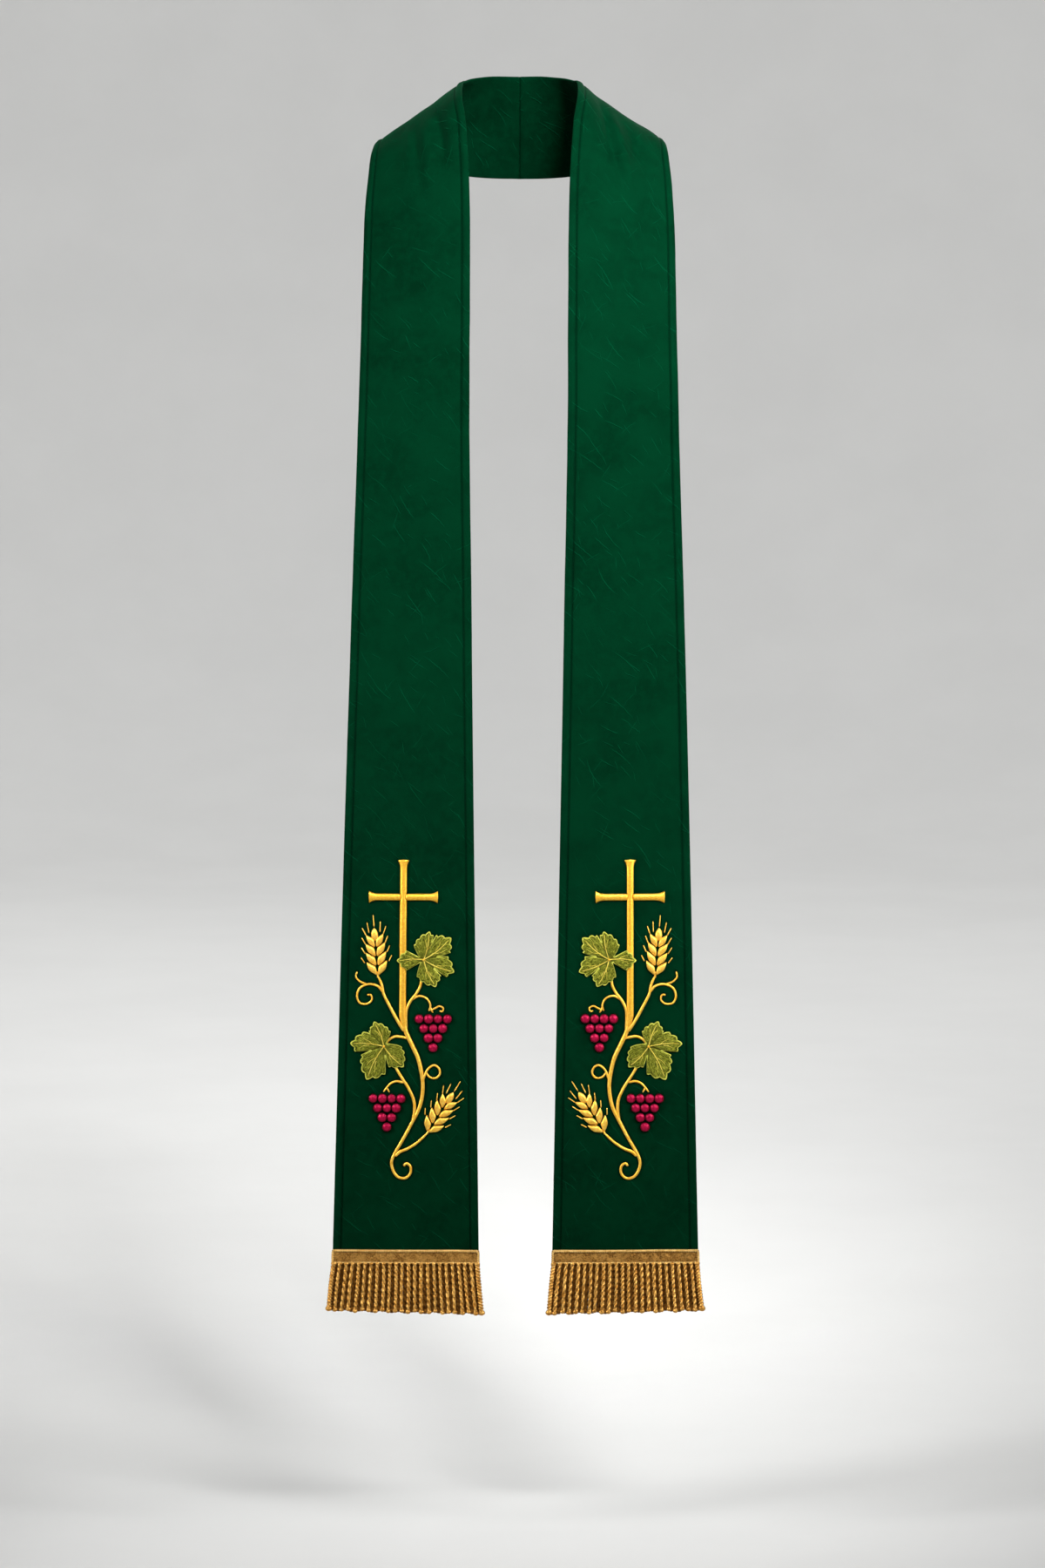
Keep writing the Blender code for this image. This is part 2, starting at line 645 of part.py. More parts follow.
def build_grapes(name, place_name, half, look, collection):
    # A low pad from the bunch's top corners to its last grape carries the grapes.
    reach = (GRAPE_ROWS[0] - 1) / 2 * GRAPE_PITCH_ACROSS
    foot = (len(GRAPE_ROWS) - 1) * GRAPE_PITCH_DOWN
    bm = bmesh.new()
    corners = [(reach, 0), (0, GRAPE_PAD_RISE), (-reach, 0), (0, -foot)]
    padded(bm, corners, (0, -foot / 3), GRAPE_PAD_HEIGHT, GRAPE_PAD_EDGE)
    bodies = [body("pad", bm, collection)]
    for row, count in enumerate(GRAPE_ROWS):
        for k in range(count):
            bm = bmesh.new()
            across = (k - (count - 1) / 2) * GRAPE_PITCH_ACROSS
            height = GRAPE_HEIGHT * (1 + GRAPE_UNEVEN * ((row + 2 * k) % 3))
            dome(bm, across, -row * GRAPE_PITCH_DOWN, GRAPE_RADIUS, height)
            bodies.append(body("grape", bm, collection))
    bunch = moved(joined(name, bodies, look, collection), place_name)
    laid(half, bunch)
    return bunch


def kernel(bm, x, y, turn, length):
    # A grain: a body that is widest below its middle and pointed at its tip.
    c, s = math.cos(turn), math.sin(turn)
    rings = []
    for t, size in KERNEL_PROFILE:
        w = KERNEL_WIDTH / 2 * size
        h = KERNEL_HEIGHT * (KERNEL_LEAST_HEIGHT + (1 - KERNEL_LEAST_HEIGHT) * size)
        ring = []
        for side, level in KERNEL_SECTION:
            px, py = side * w, t * length
            ring.append((x + c * px - s * py, y + s * px + c * py, level * h))
        rings.append(ring)
    loft(bm, rings)


def build_wheat(name, place_name, half, look, collection):
    # Pairs of grains lean out from the rachis, and one more stands at its top.
    bm = bmesh.new()
    rachis = [(0, KERNEL_PITCH * k / MM + RACHIS_FOOT) for k in range(KERNEL_PAIRS + 1)]
    stroke(bm, RACHIS_WIDTH, RACHIS_WIDTH, rachis, STROKE_STAGGER)
    bodies = [body("rachis", bm, collection)]
    for k in range(KERNEL_PAIRS):
        length = KERNEL_LENGTH - KERNEL_SHORTENING * k
        level = KERNEL_FIRST_LEVEL + KERNEL_PITCH * k
        lean = math.radians(KERNEL_LEAN - KERNEL_LEAN_FALL * k)
        for side in (-1, 1):
            bm = bmesh.new()
            kernel(bm, side * KERNEL_OFF_AXIS, level, -side * lean, length)
            bodies.append(body("grain", bm, collection))
    bm = bmesh.new()
    top = KERNEL_PITCH * KERNEL_PAIRS - TOP_KERNEL_DROP
    kernel(bm, 0, top, 0, KERNEL_LENGTH - KERNEL_SHORTENING * KERNEL_PAIRS)
    bodies.append(body("grain", bm, collection))
    ear = moved(joined(name, bodies, look, collection), place_name)
    laid(half, ear)
    return ear


def stroke_points(points):
    # Evenly spaced points of a smooth curve through the stroke's own points.
    way = [Vector(point) * MM for point in points]
    way = [2 * way[0] - way[1]] + way + [2 * way[-1] - way[-2]]
    knots = [-(way[1] - way[0]).length]
    for a, b in zip(way[:-1], way[1:]):
        knots.append(knots[-1] + (b - a).length)
    length = knots[-2]
    count = max(3, round(length / STROKE_STEP))
    return [smooth(way, knots, length * k / count) for k in range(count + 1)]


def stroke(bm, first_width, last_width, points, lift):
    # A half-round raised line with a flat underside.
    way = stroke_points(points)
    rings = []
    for k, point in enumerate(way):
        run = (way[min(k + 1, len(way) - 1)] - way[max(k - 1, 0)]).normalized()
        side = Vector((-run.y, run.x))
        half_width = (first_width + (last_width - first_width) * k / (len(way) - 1)) / 2 * MM
        ring = []
        for sideways, level in STROKE_SECTION:
            spot = point + side * sideways * half_width
            ring.append((spot.x, spot.y, lift + level * STROKE_HEIGHT))
        rings.append(ring)
    loft(bm, rings)


def build_vine(name, half, look, collection):
    # The strokes are joined, then cut clear of the cross and of the leaves, which lie over them.
    bodies = []
    for k, row in enumerate(named_rows(STROKE_COLUMNS, STROKES)):
        bm = bmesh.new()
        stroke(bm, row["first_width"], row["last_width"], row["points"], STROKE_STAGGER * k)
        bodies.append(body("stroke", bm, collection))
    vine = joined(name, bodies, look, collection)
    cutters = [cutter(cross_outline(), collection)]
    for leaf in ("upper_leaf", "lower_leaf"):
        cutters.append(moved(cutter(leaf_outline(leaf), collection), leaf))
    for other in cutters:
        modifier = vine.modifiers.new("clear", "BOOLEAN")
        modifier.operation = "DIFFERENCE"
        modifier.solver = "EXACT"
        modifier.object = other
    vine = applied(name, vine, cutters, look, collection)
    laid(half, vine)
    return vine


def main():
    for old in list(bpy.data.objects):
        bpy.data.objects.remove(old)
    stole = bpy.data.collections.new("clerical_stole")
    bpy.context.scene.collection.children.link(stole)
    cloth = material("green_cloth", GREEN_CLOTH, CLOTH_ROUGHNESS)
    bullion = material("gold_bullion", GOLD_BULLION, THREAD_ROUGHNESS, METAL_OF_GOLD)
    gold = material("gold_thread", GOLD_THREAD, THREAD_ROUGHNESS, METAL_OF_GOLD)
    olive = material("leaf_thread", LEAF_THREAD, THREAD_ROUGHNESS)
    crimson = material("grape_thread", GRAPE_THREAD, THREAD_ROUGHNESS)
    for side, half in (("left", LEFT), ("right", RIGHT)):
        build_cloth(f"half_{side}", half, cloth, stole)
        build_fringe(f"fringe_{side}", half, bullion, stole)
        build_cross(f"cross_{side}", half, gold, stole)
        build_vine(f"vine_{side}", half, gold, stole)
        for level in ("upper", "lower"):
            build_leaf(f"{level}_leaf_{side}", f"{level}_leaf", half, olive, stole)
            build_grapes(f"{level}_grapes_{side}", f"{level}_grapes", half, crimson, stole)
            build_wheat(f"{level}_wheat_{side}", f"{level}_wheat", half, gold, stole)


main()
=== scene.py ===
# A clerical stole, worn: two halves of green cloth joined behind the neck, with gold bullion fringe
# and raised satin-stitch embroidery. Sizes are metres unless a name ends in Mm.

import math
import random

import bmesh
import bpy
import numpy as np
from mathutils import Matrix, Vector
from mathutils.kdtree import KDTree


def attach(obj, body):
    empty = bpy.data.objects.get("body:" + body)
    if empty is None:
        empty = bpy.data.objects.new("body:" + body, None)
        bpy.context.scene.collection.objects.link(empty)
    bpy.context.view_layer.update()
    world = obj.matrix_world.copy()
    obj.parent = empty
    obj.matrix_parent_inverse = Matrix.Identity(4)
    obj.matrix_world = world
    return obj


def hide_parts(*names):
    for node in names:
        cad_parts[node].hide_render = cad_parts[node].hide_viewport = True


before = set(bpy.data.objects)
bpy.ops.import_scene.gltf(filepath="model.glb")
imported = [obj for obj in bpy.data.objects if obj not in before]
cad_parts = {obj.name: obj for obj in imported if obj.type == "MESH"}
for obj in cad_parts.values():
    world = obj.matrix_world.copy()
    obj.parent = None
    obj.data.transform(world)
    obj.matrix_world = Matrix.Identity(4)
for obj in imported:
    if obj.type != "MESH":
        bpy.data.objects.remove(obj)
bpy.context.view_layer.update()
print("frame loaded:", len(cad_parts), "nodes")

mm = 0.001
left, right = -1, 1
sides = (("left", left), ("right", right))

# The shape of the worn cloth, as the solids have it.
cloth = {
    "wall": 0.0020,
    "hemSway": -0.0045,
    "slopeStep": 0.0005,
    "slopeShare": 0.01,
    "foldFull": 0.25,
    "foldFade": 0.35,
}

sectionColumns = ("name", "innerX", "innerY", "innerZ", "outerX", "outerY", "outerZ", "bulge")
sectionsMm = (
    ("neckSeam", 0, 66, 8, 0, 100, -94, 1),
    ("backOfNeck", 23, 62, 8, 50, 96, -92, 3),
    ("backTurn", 43, 48, 6, 97, 80, -84, 5),
    ("behindShoulder", 55, 27, 3, 130, 47, -72, 1),
    ("shoulderTop", 59, 2, 0, 144, 8, -60, 0),
    ("shoulderFront", 59, -28, -15, 149, -16, -70, 0),
    ("collarbone", 55, -51, -42, 152, -34, -93, 2),
    ("upperChest", 51, -82, -108, 155, -57, -137, 4),
    ("chest", 50, -107, -216, 157, -82, -224, 5),
    ("underChest", 50, -120, -340, 160, -101, -340, 4),
    ("waist", 47, -130, -560, 167, -120, -560, 3),
    ("hip", 43, -140, -840, 175, -136, -840, 2),
    ("hem", 38, -151, -1184, 184, -148, -1184, 1),
)

# Along is millimetres from the neck seam and across runs from 0 at the inner edge to 1 at the outer edge.
foldColumns = ("name", "half", "along", "across", "toAlong", "toAcross", "halfWidth", "depth")
foldsMm = (
    ("leftNeckFold", left, 150, 0.34, 218, 0.26, 9, 2.2),
    ("leftNeckRoll", left, 160, 0.12, 232, 0.14, 9, -1.2),
    ("leftShoulderFold", left, 158, 0.66, 215, 0.74, 12, 1.6),
    ("rightNeckFold", right, 146, 0.24, 236, 0.46, 9, 2.4),
    ("rightShoulderFold", right, 160, 0.52, 206, 0.66, 10, 1.8),
    ("rightNeckRoll", right, 165, 0.10, 240, 0.16, 9, -1.2),
    ("rightShoulderRoll", right, 110, 0.80, 175, 0.88, 15, -2.4),
    ("leftBackFold", left, 40, 0.30, 112, 0.62, 10, 2.0),
    ("rightBackFold", right, 48, 0.36, 118, 0.58, 10, 1.8),
    ("leftWaistWave", left, 610, 0.05, 760, 0.80, 50, 3.0),
    ("leftHipWave", left, 1100, 0.95, 1300, 0.20, 60, 2.6),
    ("rightWaistWave", right, 520, 0.90, 700, 0.15, 50, 3.0),
    ("rightHipWave", right, 1080, 0.10, 1290, 0.85, 60, 2.6),
)

# Softer creases that only the dressed cloth has.
softCreasesMm = (
    ("leftCollarCrease", left, 196, 0.50, 262, 0.44, 6, 0.8),
    ("leftEdgeRipple", left, 224, 0.86, 300, 0.93, 7, 0.7),
    ("leftChestCrease", left, 262, 0.62, 352, 0.28, 8, 0.6),
    ("leftChestRidge", left, 300, 0.16, 390, 0.50, 10, -0.6),
    ("leftMidTrough", left, 410, 0.22, 560, 0.66, 16, 0.8),
    ("leftMidRidge", left, 520, 0.12, 660, 0.30, 14, -0.7),
    ("leftLowTrough", left, 800, 0.80, 930, 0.34, 18, 0.8),
    ("leftLowRidge", left, 860, 0.20, 1010, 0.10, 12, -0.6),
    ("leftHemRipple", left, 1330, 0.30, 1400, 0.24, 9, 0.6),
    ("leftHemTrough", left, 1310, 0.72, 1398, 0.80, 12, 0.8),
    ("rightCollarCrease", right, 188, 0.66, 250, 0.80, 7, 0.8),
    ("rightInnerRipple", right, 236, 0.18, 312, 0.10, 7, 0.7),
    ("rightChestCrease", right, 270, 0.36, 350, 0.66, 8, 0.6),
    ("rightChestRidge", right, 300, 0.86, 400, 0.60, 11, -0.6),
    ("rightMidTrough", right, 420, 0.74, 560, 0.30, 16, 0.8),
    ("rightMidRidge", right, 560, 0.84, 690, 0.70, 14, -0.7),
    ("rightLowTrough", right, 790, 0.24, 920, 0.62, 18, 0.8),
    ("rightLowRidge", right, 880, 0.86, 1020, 0.92, 12, -0.6),
    ("rightHemRipple", right, 1335, 0.62, 1400, 0.70, 9, 0.6),
    ("rightHemTrough", right, 1312, 0.22, 1396, 0.16, 12, 0.8),
    ("leftNeckTrough", left, 176, 0.29, 222, 0.22, 5.5, 2.4),
    ("leftNeckRidge", left, 178, 0.41, 240, 0.37, 6.5, -1.8),
    ("leftYokeTrough", left, 178, 0.53, 218, 0.50, 6, 1.6),
    ("leftYokeRidge", left, 190, 0.13, 240, 0.15, 6, -1.0),
    ("rightNeckTrough", right, 172, 0.31, 240, 0.48, 5, 2.4),
    ("rightNeckRidge", right, 172, 0.40, 236, 0.57, 5.5, -1.9),
    ("rightYokeTrough", right, 172, 0.56, 210, 0.64, 7, 1.4),
    ("rightYokeRidge", right, 190, 0.20, 256, 0.25, 7, -1.0),
    ("leftNapeCrease", left, 10, 0.66, 66, 0.80, 8, 0.8),
    ("rightNapeCrease", right, 14, 0.18, 84, 0.10, 7, 0.7),
)


def namedRows(columns, rows):
    return [dict(zip(columns, row)) for row in rows]


def smoothAt(values, knots, at):
    # the cubic that the solids use, for many places at once
    k = np.clip(np.searchsorted(knots, at, side="left") - 1, 1, len(knots) - 3)
    span = knots[k + 1] - knots[k]
    t = ((at - knots[k]) / span)[:, None]
    here = (values[k + 1] - values[k - 1]) / (knots[k + 1] - knots[k - 1])[:, None]
    after = (values[k + 2] - values[k]) / (knots[k + 2] - knots[k])[:, None]
    span = span[:, None]
    return (
        values[k] * (2 * t**3 - 3 * t**2 + 1)
        + here * span * (t**3 - 2 * t**2 + t)
        + values[k + 1] * (3 * t**2 - 2 * t**3)
        + after * span * (t**3 - t**2)
    )


def wornSections():
    rows = namedRows(sectionColumns, sectionsMm)
    inner = [np.array((r["innerX"], r["innerY"], r["innerZ"]), float) * mm for r in rows]
    outer = [np.array((r["outerX"], r["outerY"], r["outerZ"]), float) * mm for r in rows]
    bulge = [r["bulge"] * mm for r in rows]
    for edge in (inner, outer):
        edge.insert(0, edge[1] * (-1, 1, 1))
        edge.append(2 * edge[-1] - edge[-2])
    bulge = [bulge[1]] + bulge + [bulge[-1]]
    middle = [(a + b) / 2 for a, b in zip(inner, outer)]
    knots = [-np.linalg.norm(middle[1] - middle[0])]
    for a, b in zip(middle[:-1], middle[1:]):
        knots.append(knots[-1] + np.linalg.norm(b - a))
    values = np.hstack([np.array(inner), np.array(outer), np.array(bulge)[:, None]])
    return values, np.array(knots)


shapeValues, shapeKnots = wornSections()
undulation = {"waves": 14, "height": 0.00013, "shortest": 0.030, "longest": 0.110, "seed": 7}
shapeLength = shapeKnots[-2]
hemOuterZ = shapeValues[-2][5]
allFolds = namedRows(foldColumns, foldsMm + softCreasesMm)


def undulationWaves():
    rng = random.Random(undulation["seed"])
    waves = []
    for _ in range(undulation["waves"]):
        turns = 2 * math.pi / rng.uniform(undulation["shortest"], undulation["longest"])
        way = rng.uniform(0, math.pi)
        phase, share = rng.uniform(0, 6.28), rng.uniform(0.5, 1.0)
        waves.append((turns * math.cos(way), turns * math.sin(way), phase, share))
    return waves


softWaves = undulationWaves()


def softSwell(half, along, acrossMetres):
    swell = np.zeros(len(along))
    for a, b, phase, share in softWaves:
        swell += share * np.sin(a * along + b * acrossMetres + phase + half)
    return undulation["height"] * swell


def foldDepth(half, along, across, width):
    total = np.zeros(len(along))
    for fold in allFolds:
        if fold["half"] != half:
            continue
        startX, endX = fold["along"] * mm, fold["toAlong"] * mm
        startY, endY = fold["across"] * width, fold["toAcross"] * width
        runX, runY = endX - startX, endY - startY
        offX, offY = along - startX, across * width - startY
        t = (offX * runX + offY * runY) / (runX**2 + runY**2)
        beside = np.hypot(offX - t * runX, offY - t * runY) / (fold["halfWidth"] * mm)
        past = np.maximum(0, np.abs(t - 0.5) - cloth["foldFull"]) / cloth["foldFade"]
        total += fold["depth"] * mm * np.exp(-(beside**2) - past**2)
    return total


def unit(rows):
    return rows / np.linalg.norm(rows, axis=1)[:, None]


def roundedOff(fromEnd, radius):
    # the share of full size left this far from a rounded end
    return np.sqrt(np.clip(1 - np.clip(1 - fromEnd / radius, 0, 1) ** 2, 0, 1))


def plainPoints(half, along, across):
    here = smoothAt(shapeValues, shapeKnots, along)
    below = smoothAt(shapeValues, shapeKnots, along + cloth["slopeStep"])
    above = smoothAt(shapeValues, shapeKnots, along - cloth["slopeStep"])
    inner, chord = here[:, 0:3], here[:, 3:6] - here[:, 0:3]
    down = below[:, 0:3] + below[:, 3:6] - above[:, 0:3] - above[:, 3:6]
    away = unit(np.cross(down, chord))
    width = np.linalg.norm(chord, axis=1)
    lift = here[:, 6] * 4 * across * (1 - across) - foldDepth(half, along, across, width)
    lift = lift + softSwell(half, along, across * width)
    points = inner + chord * across[:, None] + away * lift[:, None]
    drop = np.maximum(0, -points[:, 2]) / -hemOuterZ
    points[:, 0] = half * points[:, 0] + cloth["hemSway"] * drop
    return points


def clothPoints(half, along, across, height):
    # points of the cloth's middle surface, moved away from the wearer by the height
    step, share = cloth["slopeStep"], cloth["slopeShare"]
    down = plainPoints(half, along + step, across) - plainPoints(half, along - step, across)
    side = plainPoints(half, along, across + share) - plainPoints(half, along, across - share)
    down[along < step] = (half, 0, 0)
    away = unit(half * np.cross(down, side))
    return plainPoints(half, along, across) + away * height[:, None]


def widthAt(along):
    here = smoothAt(shapeValues, shapeKnots, np.atleast_1d(np.asarray(along, float)))
    return np.linalg.norm(here[:, 3:6] - here[:, 0:3], axis=1)


hemWidth = float(widthAt(shapeLength)[0])


def rolledGrid(bm, around, along, place, uvAcross=1.0, uvAlong=1.0):
    # a flat grid whose x goes round a section and whose y goes along it, put in place by the function
    uv = bm.loops.layers.uv.verify()
    verts = bmesh.ops.create_grid(bm, x_segments=around, y_segments=along, size=0.5, calc_uvs=True)["verts"]
    co = np.array([v.co for v in verts])
    ix = np.rint((co[:, 0] + 0.5) * around).astype(int)
    iy = np.rint((co[:, 1] + 0.5) * along).astype(int)
    points = place(ix, iy)
    for vert, point in zip(verts, points):
        vert.co = point
    faces = {face for vert in verts for face in vert.link_faces}
    for face in faces:
        for loop in face.loops:
            spot = loop[uv].uv
            spot.x *= uvAcross
            spot.y *= uvAlong
    return verts


def finishPiece(name, bm, looks, merge=0.000004):
    bmesh.ops.remove_doubles(bm, verts=bm.verts, dist=merge)
    bmesh.ops.dissolve_degenerate(bm, edges=bm.edges, dist=0.000001)
    openEdges = [edge for edge in bm.edges if edge.is_boundary]
    if openEdges:
        bmesh.ops.holes_fill(bm, edges=openEdges, sides=0)
    bmesh.ops.recalc_face_normals(bm, faces=bm.faces)
    mesh = bpy.data.meshes.new(name)
    bm.to_mesh(mesh)
    bm.free()
    for look in looks if isinstance(looks, (list, tuple)) else [looks]:
        mesh.materials.append(look)
    mesh.shade_smooth()
    made = bpy.data.objects.new(name, mesh)
    bpy.context.scene.collection.objects.link(made)
    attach(made, "root")
    return made


def layOnPlan(bm, half):
    # from the ornament's plan (x out, y up, z height off the face) to the worn cloth
    verts = list(bm.verts)
    flat = np.array([v.co for v in verts])
    points = planPoints(half, flat[:, 0], flat[:, 1], flat[:, 2])
    for vert, point in zip(verts, points):
        vert.co = point


def planPoints(half, x, y, height):
    along = shapeLength - plan["footAboveHem"] - y
    across = 0.5 + (plan["footToOuterSide"] + x) / widthAt(along)
    return clothPoints(half, along, across, cloth["wall"] / 2 - plan["sunk"] + height)


def hemPoints(half, x, y, height):
    # x from the hem's middle, y up from the hem, height from the cloth's middle surface
    along = shapeLength - y
    return clothPoints(half, along, 0.5 + x / hemWidth, height)


# The plan of the ornament on each panel, measured from the foot of the cross.
plan = {
    "footAboveHem": 0.2440,
    "footToOuterSide": 0.0050,
    "sunk": 0.00012,
}

placeColumns = ("name", "x", "y", "turn")
placesMm = (
    ("upperLeaf", -21, 62, 51),
    ("lowerLeaf", 18.5, -26, -153),
    ("upperGrapes", -31, 2, 0),
    ("lowerGrapes", 15, -79, 0),
    ("upperWheat", 25, 45, -5),
    ("lowerWheat", -26, -114, 32),
)
places = {row["name"]: row for row in namedRows(placeColumns, placesMm)}

lobeColumns = ("leaf", "degrees", "reach", "notchDegrees", "notch")
lobesMm = (
    ("upperLeaf", 0, 35, 27, 13),
    ("upperLeaf", 61, 33, 79, 13),
    ("upperLeaf", 105, 30, 179, 4),
    ("upperLeaf", 217, 27, 250, 5),
    ("upperLeaf", 320, 29, 333, 19),
    ("lowerLeaf", 0, 38, 45, 13),
    ("lowerLeaf", 68, 34, 106, 19),
    ("lowerLeaf", 132, 27, 193, 4),
    ("lowerLeaf", 289, 29, 323, 9),
)

strokeColumns = ("name", "firstWidth", "lastWidth", "points")
strokesMm = (
    ("mainVine", 4.6, 2.6, ((-1, -2), (-4, -12), (-10, -25), (-16, -38), (-20, -55), (-21, -70), (-18, -87),
                            (-10, -104), (-1, -121), (7, -135), (10, -144), (8, -153), (3, -159),
                            (-4, -160), (-9, -155), (-9, -148), (-5, -145), (-2, -148))),
    ("wheatStem", 2.4, 3.6, ((24.5, 44.6), (21, 36), (19, 27), (13, 15), (6, 2), (-2, -11))),
    ("leafStalk", 2.6, 3.2, ((-19, 44), (-18, 36), (-14, 28), (-8, 20), (-4, 11), (-3.5, 0), (-4, -10))),
    ("grapeStem", 2.4, 1.8, ((-9, 21), (-16, 25), (-24, 23), (-28, 16), (-26.5, 9.5))),
    ("grapeFork", 2.4, 1.8, ((-27.6, 15), (-29, 11), (-31, 8))),
    ("grapeTendril", 2.0, 1.6, ((-29, 11), (-33, 13), (-37, 15), (-41, 13), (-40, 9.5), (-37, 10.5))),
    ("tendril", 2.6, 1.8, ((20, 29), (25, 35), (34, 37), (43, 33), (46, 25), (43, 18), (36, 17), (31, 21),
                           (32, 26), (36, 26))),
    ("tendrilTip", 2.2, 1.6, ((36, 37), (42, 39), (47, 44), (46, 50))),
    ("lowerLeafStalk", 3.0, 2.4, ((-6, -18), (0, -16.5), (7, -16), (13, -19), (17, -24))),
    ("branch", 2.8, 3.2, ((9, -39), (6, -48), (0, -58), (-7, -69), (-12, -81), (-12.5, -94),
                          (-10.5, -103))),
    ("lowerGrapeStem", 2.6, 1.8, ((-2, -63), (5, -61.5), (11, -63.5), (15, -67.5), (19, -72.8))),
    ("lowerGrapeFork", 2.2, 1.6, ((15.5, -68), (14, -70.5), (12.6, -73.2))),
    ("loop", 2.4, 2.0, ((-20, -66), (-22, -58), (-26, -49), (-32, -45), (-37, -48), (-38, -54), (-34, -58),
                        (-28, -57), (-24, -52))),
    ("lowerWheatStem", 3.4, 2.4, ((6.6, -138), (2, -133.4), (-6, -130), (-14, -125), (-20, -120),
                                  (-25.3, -114.6))),
)


def smoothWay(pointsMm, step):
    # evenly spaced points of a smooth line through the given ones
    way = np.array(pointsMm, float) * mm
    way = np.vstack([2 * way[0] - way[1], way, 2 * way[-1] - way[-2]])
    gaps = np.linalg.norm(np.diff(way, axis=0), axis=1)
    knots = np.concatenate([[-gaps[0]], np.cumsum(np.concatenate([[0], gaps[1:]]))])
    length = knots[-2]
    count = max(6, round(length / step))
    return smoothAt(way, knots, np.linspace(0, length, count + 1)), length


def turnedInto(place, x, y):
    row = places[place]
    turn = math.radians(row["turn"])
    c, s = math.cos(turn), math.sin(turn)
    return row["x"] * mm + c * x - s * y, row["y"] * mm + s * x + c * y


def newLook(name, roughness, specular, tint=(1, 1, 1), metallic=0.0, sheen=0.0, sheenTint=(1, 1, 1)):
    look = bpy.data.materials.new(name)
    look.use_nodes = True
    shader = look.node_tree.nodes["Principled BSDF"]
    shader.inputs["Roughness"].default_value = roughness
    shader.inputs["Specular IOR Level"].default_value = specular
    shader.inputs["Specular Tint"].default_value = (*tint, 1)
    shader.inputs["Metallic"].default_value = metallic
    shader.inputs["Sheen Weight"].default_value = sheen
    shader.inputs["Sheen Tint"].default_value = (*sheenTint, 1)
    shader.inputs["Sheen Roughness"].default_value = 0.45
    return look, look.node_tree, shader


def addNode(tree, kind, inputs=None, **settings):
    node = tree.nodes.new(kind)
    for key, value in settings.items():
        setattr(node, key, value)
    for key, value in (inputs or {}).items():
        socket = node.inputs[key]
        if isinstance(value, bpy.types.NodeSocket):
            tree.links.new(value, socket)
        else:
            socket.default_value = value
    return node


def mathNode(tree, operation, first, second=0.0, third=0.0):
    return addNode(tree, "ShaderNodeMath", {0: first, 1: second, 2: third}, operation=operation).outputs[0]


def times(tree, first, second):
    return mathNode(tree, "MULTIPLY", first, second)


def timesPlus(tree, first, second, third):
    return mathNode(tree, "MULTIPLY_ADD", first, second, third)


def splitUp(tree, vector):
    return addNode(tree, "ShaderNodeSeparateXYZ", {"Vector": vector}).outputs


def scaledUv(tree, where, x, y):
    return addNode(
        tree, "ShaderNodeMapping", {"Vector": where.outputs["UV"], "Scale": (x, y, 1.0)}).outputs[0]


def mixColours(tree, factor, first, second):
    first, second = [(*c, 1) if isinstance(c, tuple) else c for c in (first, second)]
    return addNode(tree, "ShaderNodeMix", {0: factor, 6: first, 7: second}, data_type="RGBA").outputs[2]


def noiseAt(tree, vector, scale, detail=3.0, roughness=0.5, distortion=0.0):
    inputs = {"Vector": vector, "Scale": scale, "Detail": detail, "Roughness": roughness}
    return addNode(tree, "ShaderNodeTexNoise", {**inputs, "Distortion": distortion}).outputs["Fac"]


def stepRange(tree, value, low, high, toLow=0.0, toHigh=1.0):
    return addNode(
        tree, "ShaderNodeMapRange",
        {"Value": value, "From Min": low, "From Max": high, "To Min": toLow, "To Max": toHigh},
        interpolation_type="SMOOTHSTEP",
    ).outputs[0]


def finishLook(tree, shader, tone, height):
    # the colour, and a bump whose height is given in millimetres
    tree.links.new(tone, shader.inputs["Base Color"])
    bump = addNode(tree, "ShaderNodeBump", {"Height": height, "Strength": 1.0, "Distance": mm})
    tree.links.new(bump.outputs[0], shader.inputs["Normal"])


clothLook = {
    "deep": (0.0001, 0.0078, 0.0026),
    "mid": (0.0001, 0.0118, 0.0040),
    "light": (0.0002, 0.0179, 0.0062),
    # a lighter green laid along the fine creases as a painted highlight
    "line": (0.0006, 0.0520, 0.0200),
    "patchScale": 19.0,
    "mottleScale": 120.0,
    "napScale": 1400.0,
    "weavePitch": 0.00060,
    "weaveMm": 0.016,
    "napMm": 0.070,
    "mottleMm": 0.22,
    "creaseMm": 0.44,
    # the next two: how strongly the painted highlight is laid along the fine creases, and how dark the
    # painted shade gets in the grooves, at the neck seam and beside the stitches
    "creaseHighlightTone": 0.40,
    "paintedShadeTone": 0.22,
}

# Fine creases: cell size, half length and half width in metres, lean and its spread in degrees, and the
# share of the cells that have one.
hairCreases = (
    (0.020, 0.0075, 0.00055, 38, 34, 0.46),
    (0.032, 0.0130, 0.00075, 46, 20, 0.62),
    (0.048, 0.0200, 0.00085, 42, 12, 0.60),
    (0.030, 0.0110, 0.00055, -44, 26, 0.34),
)


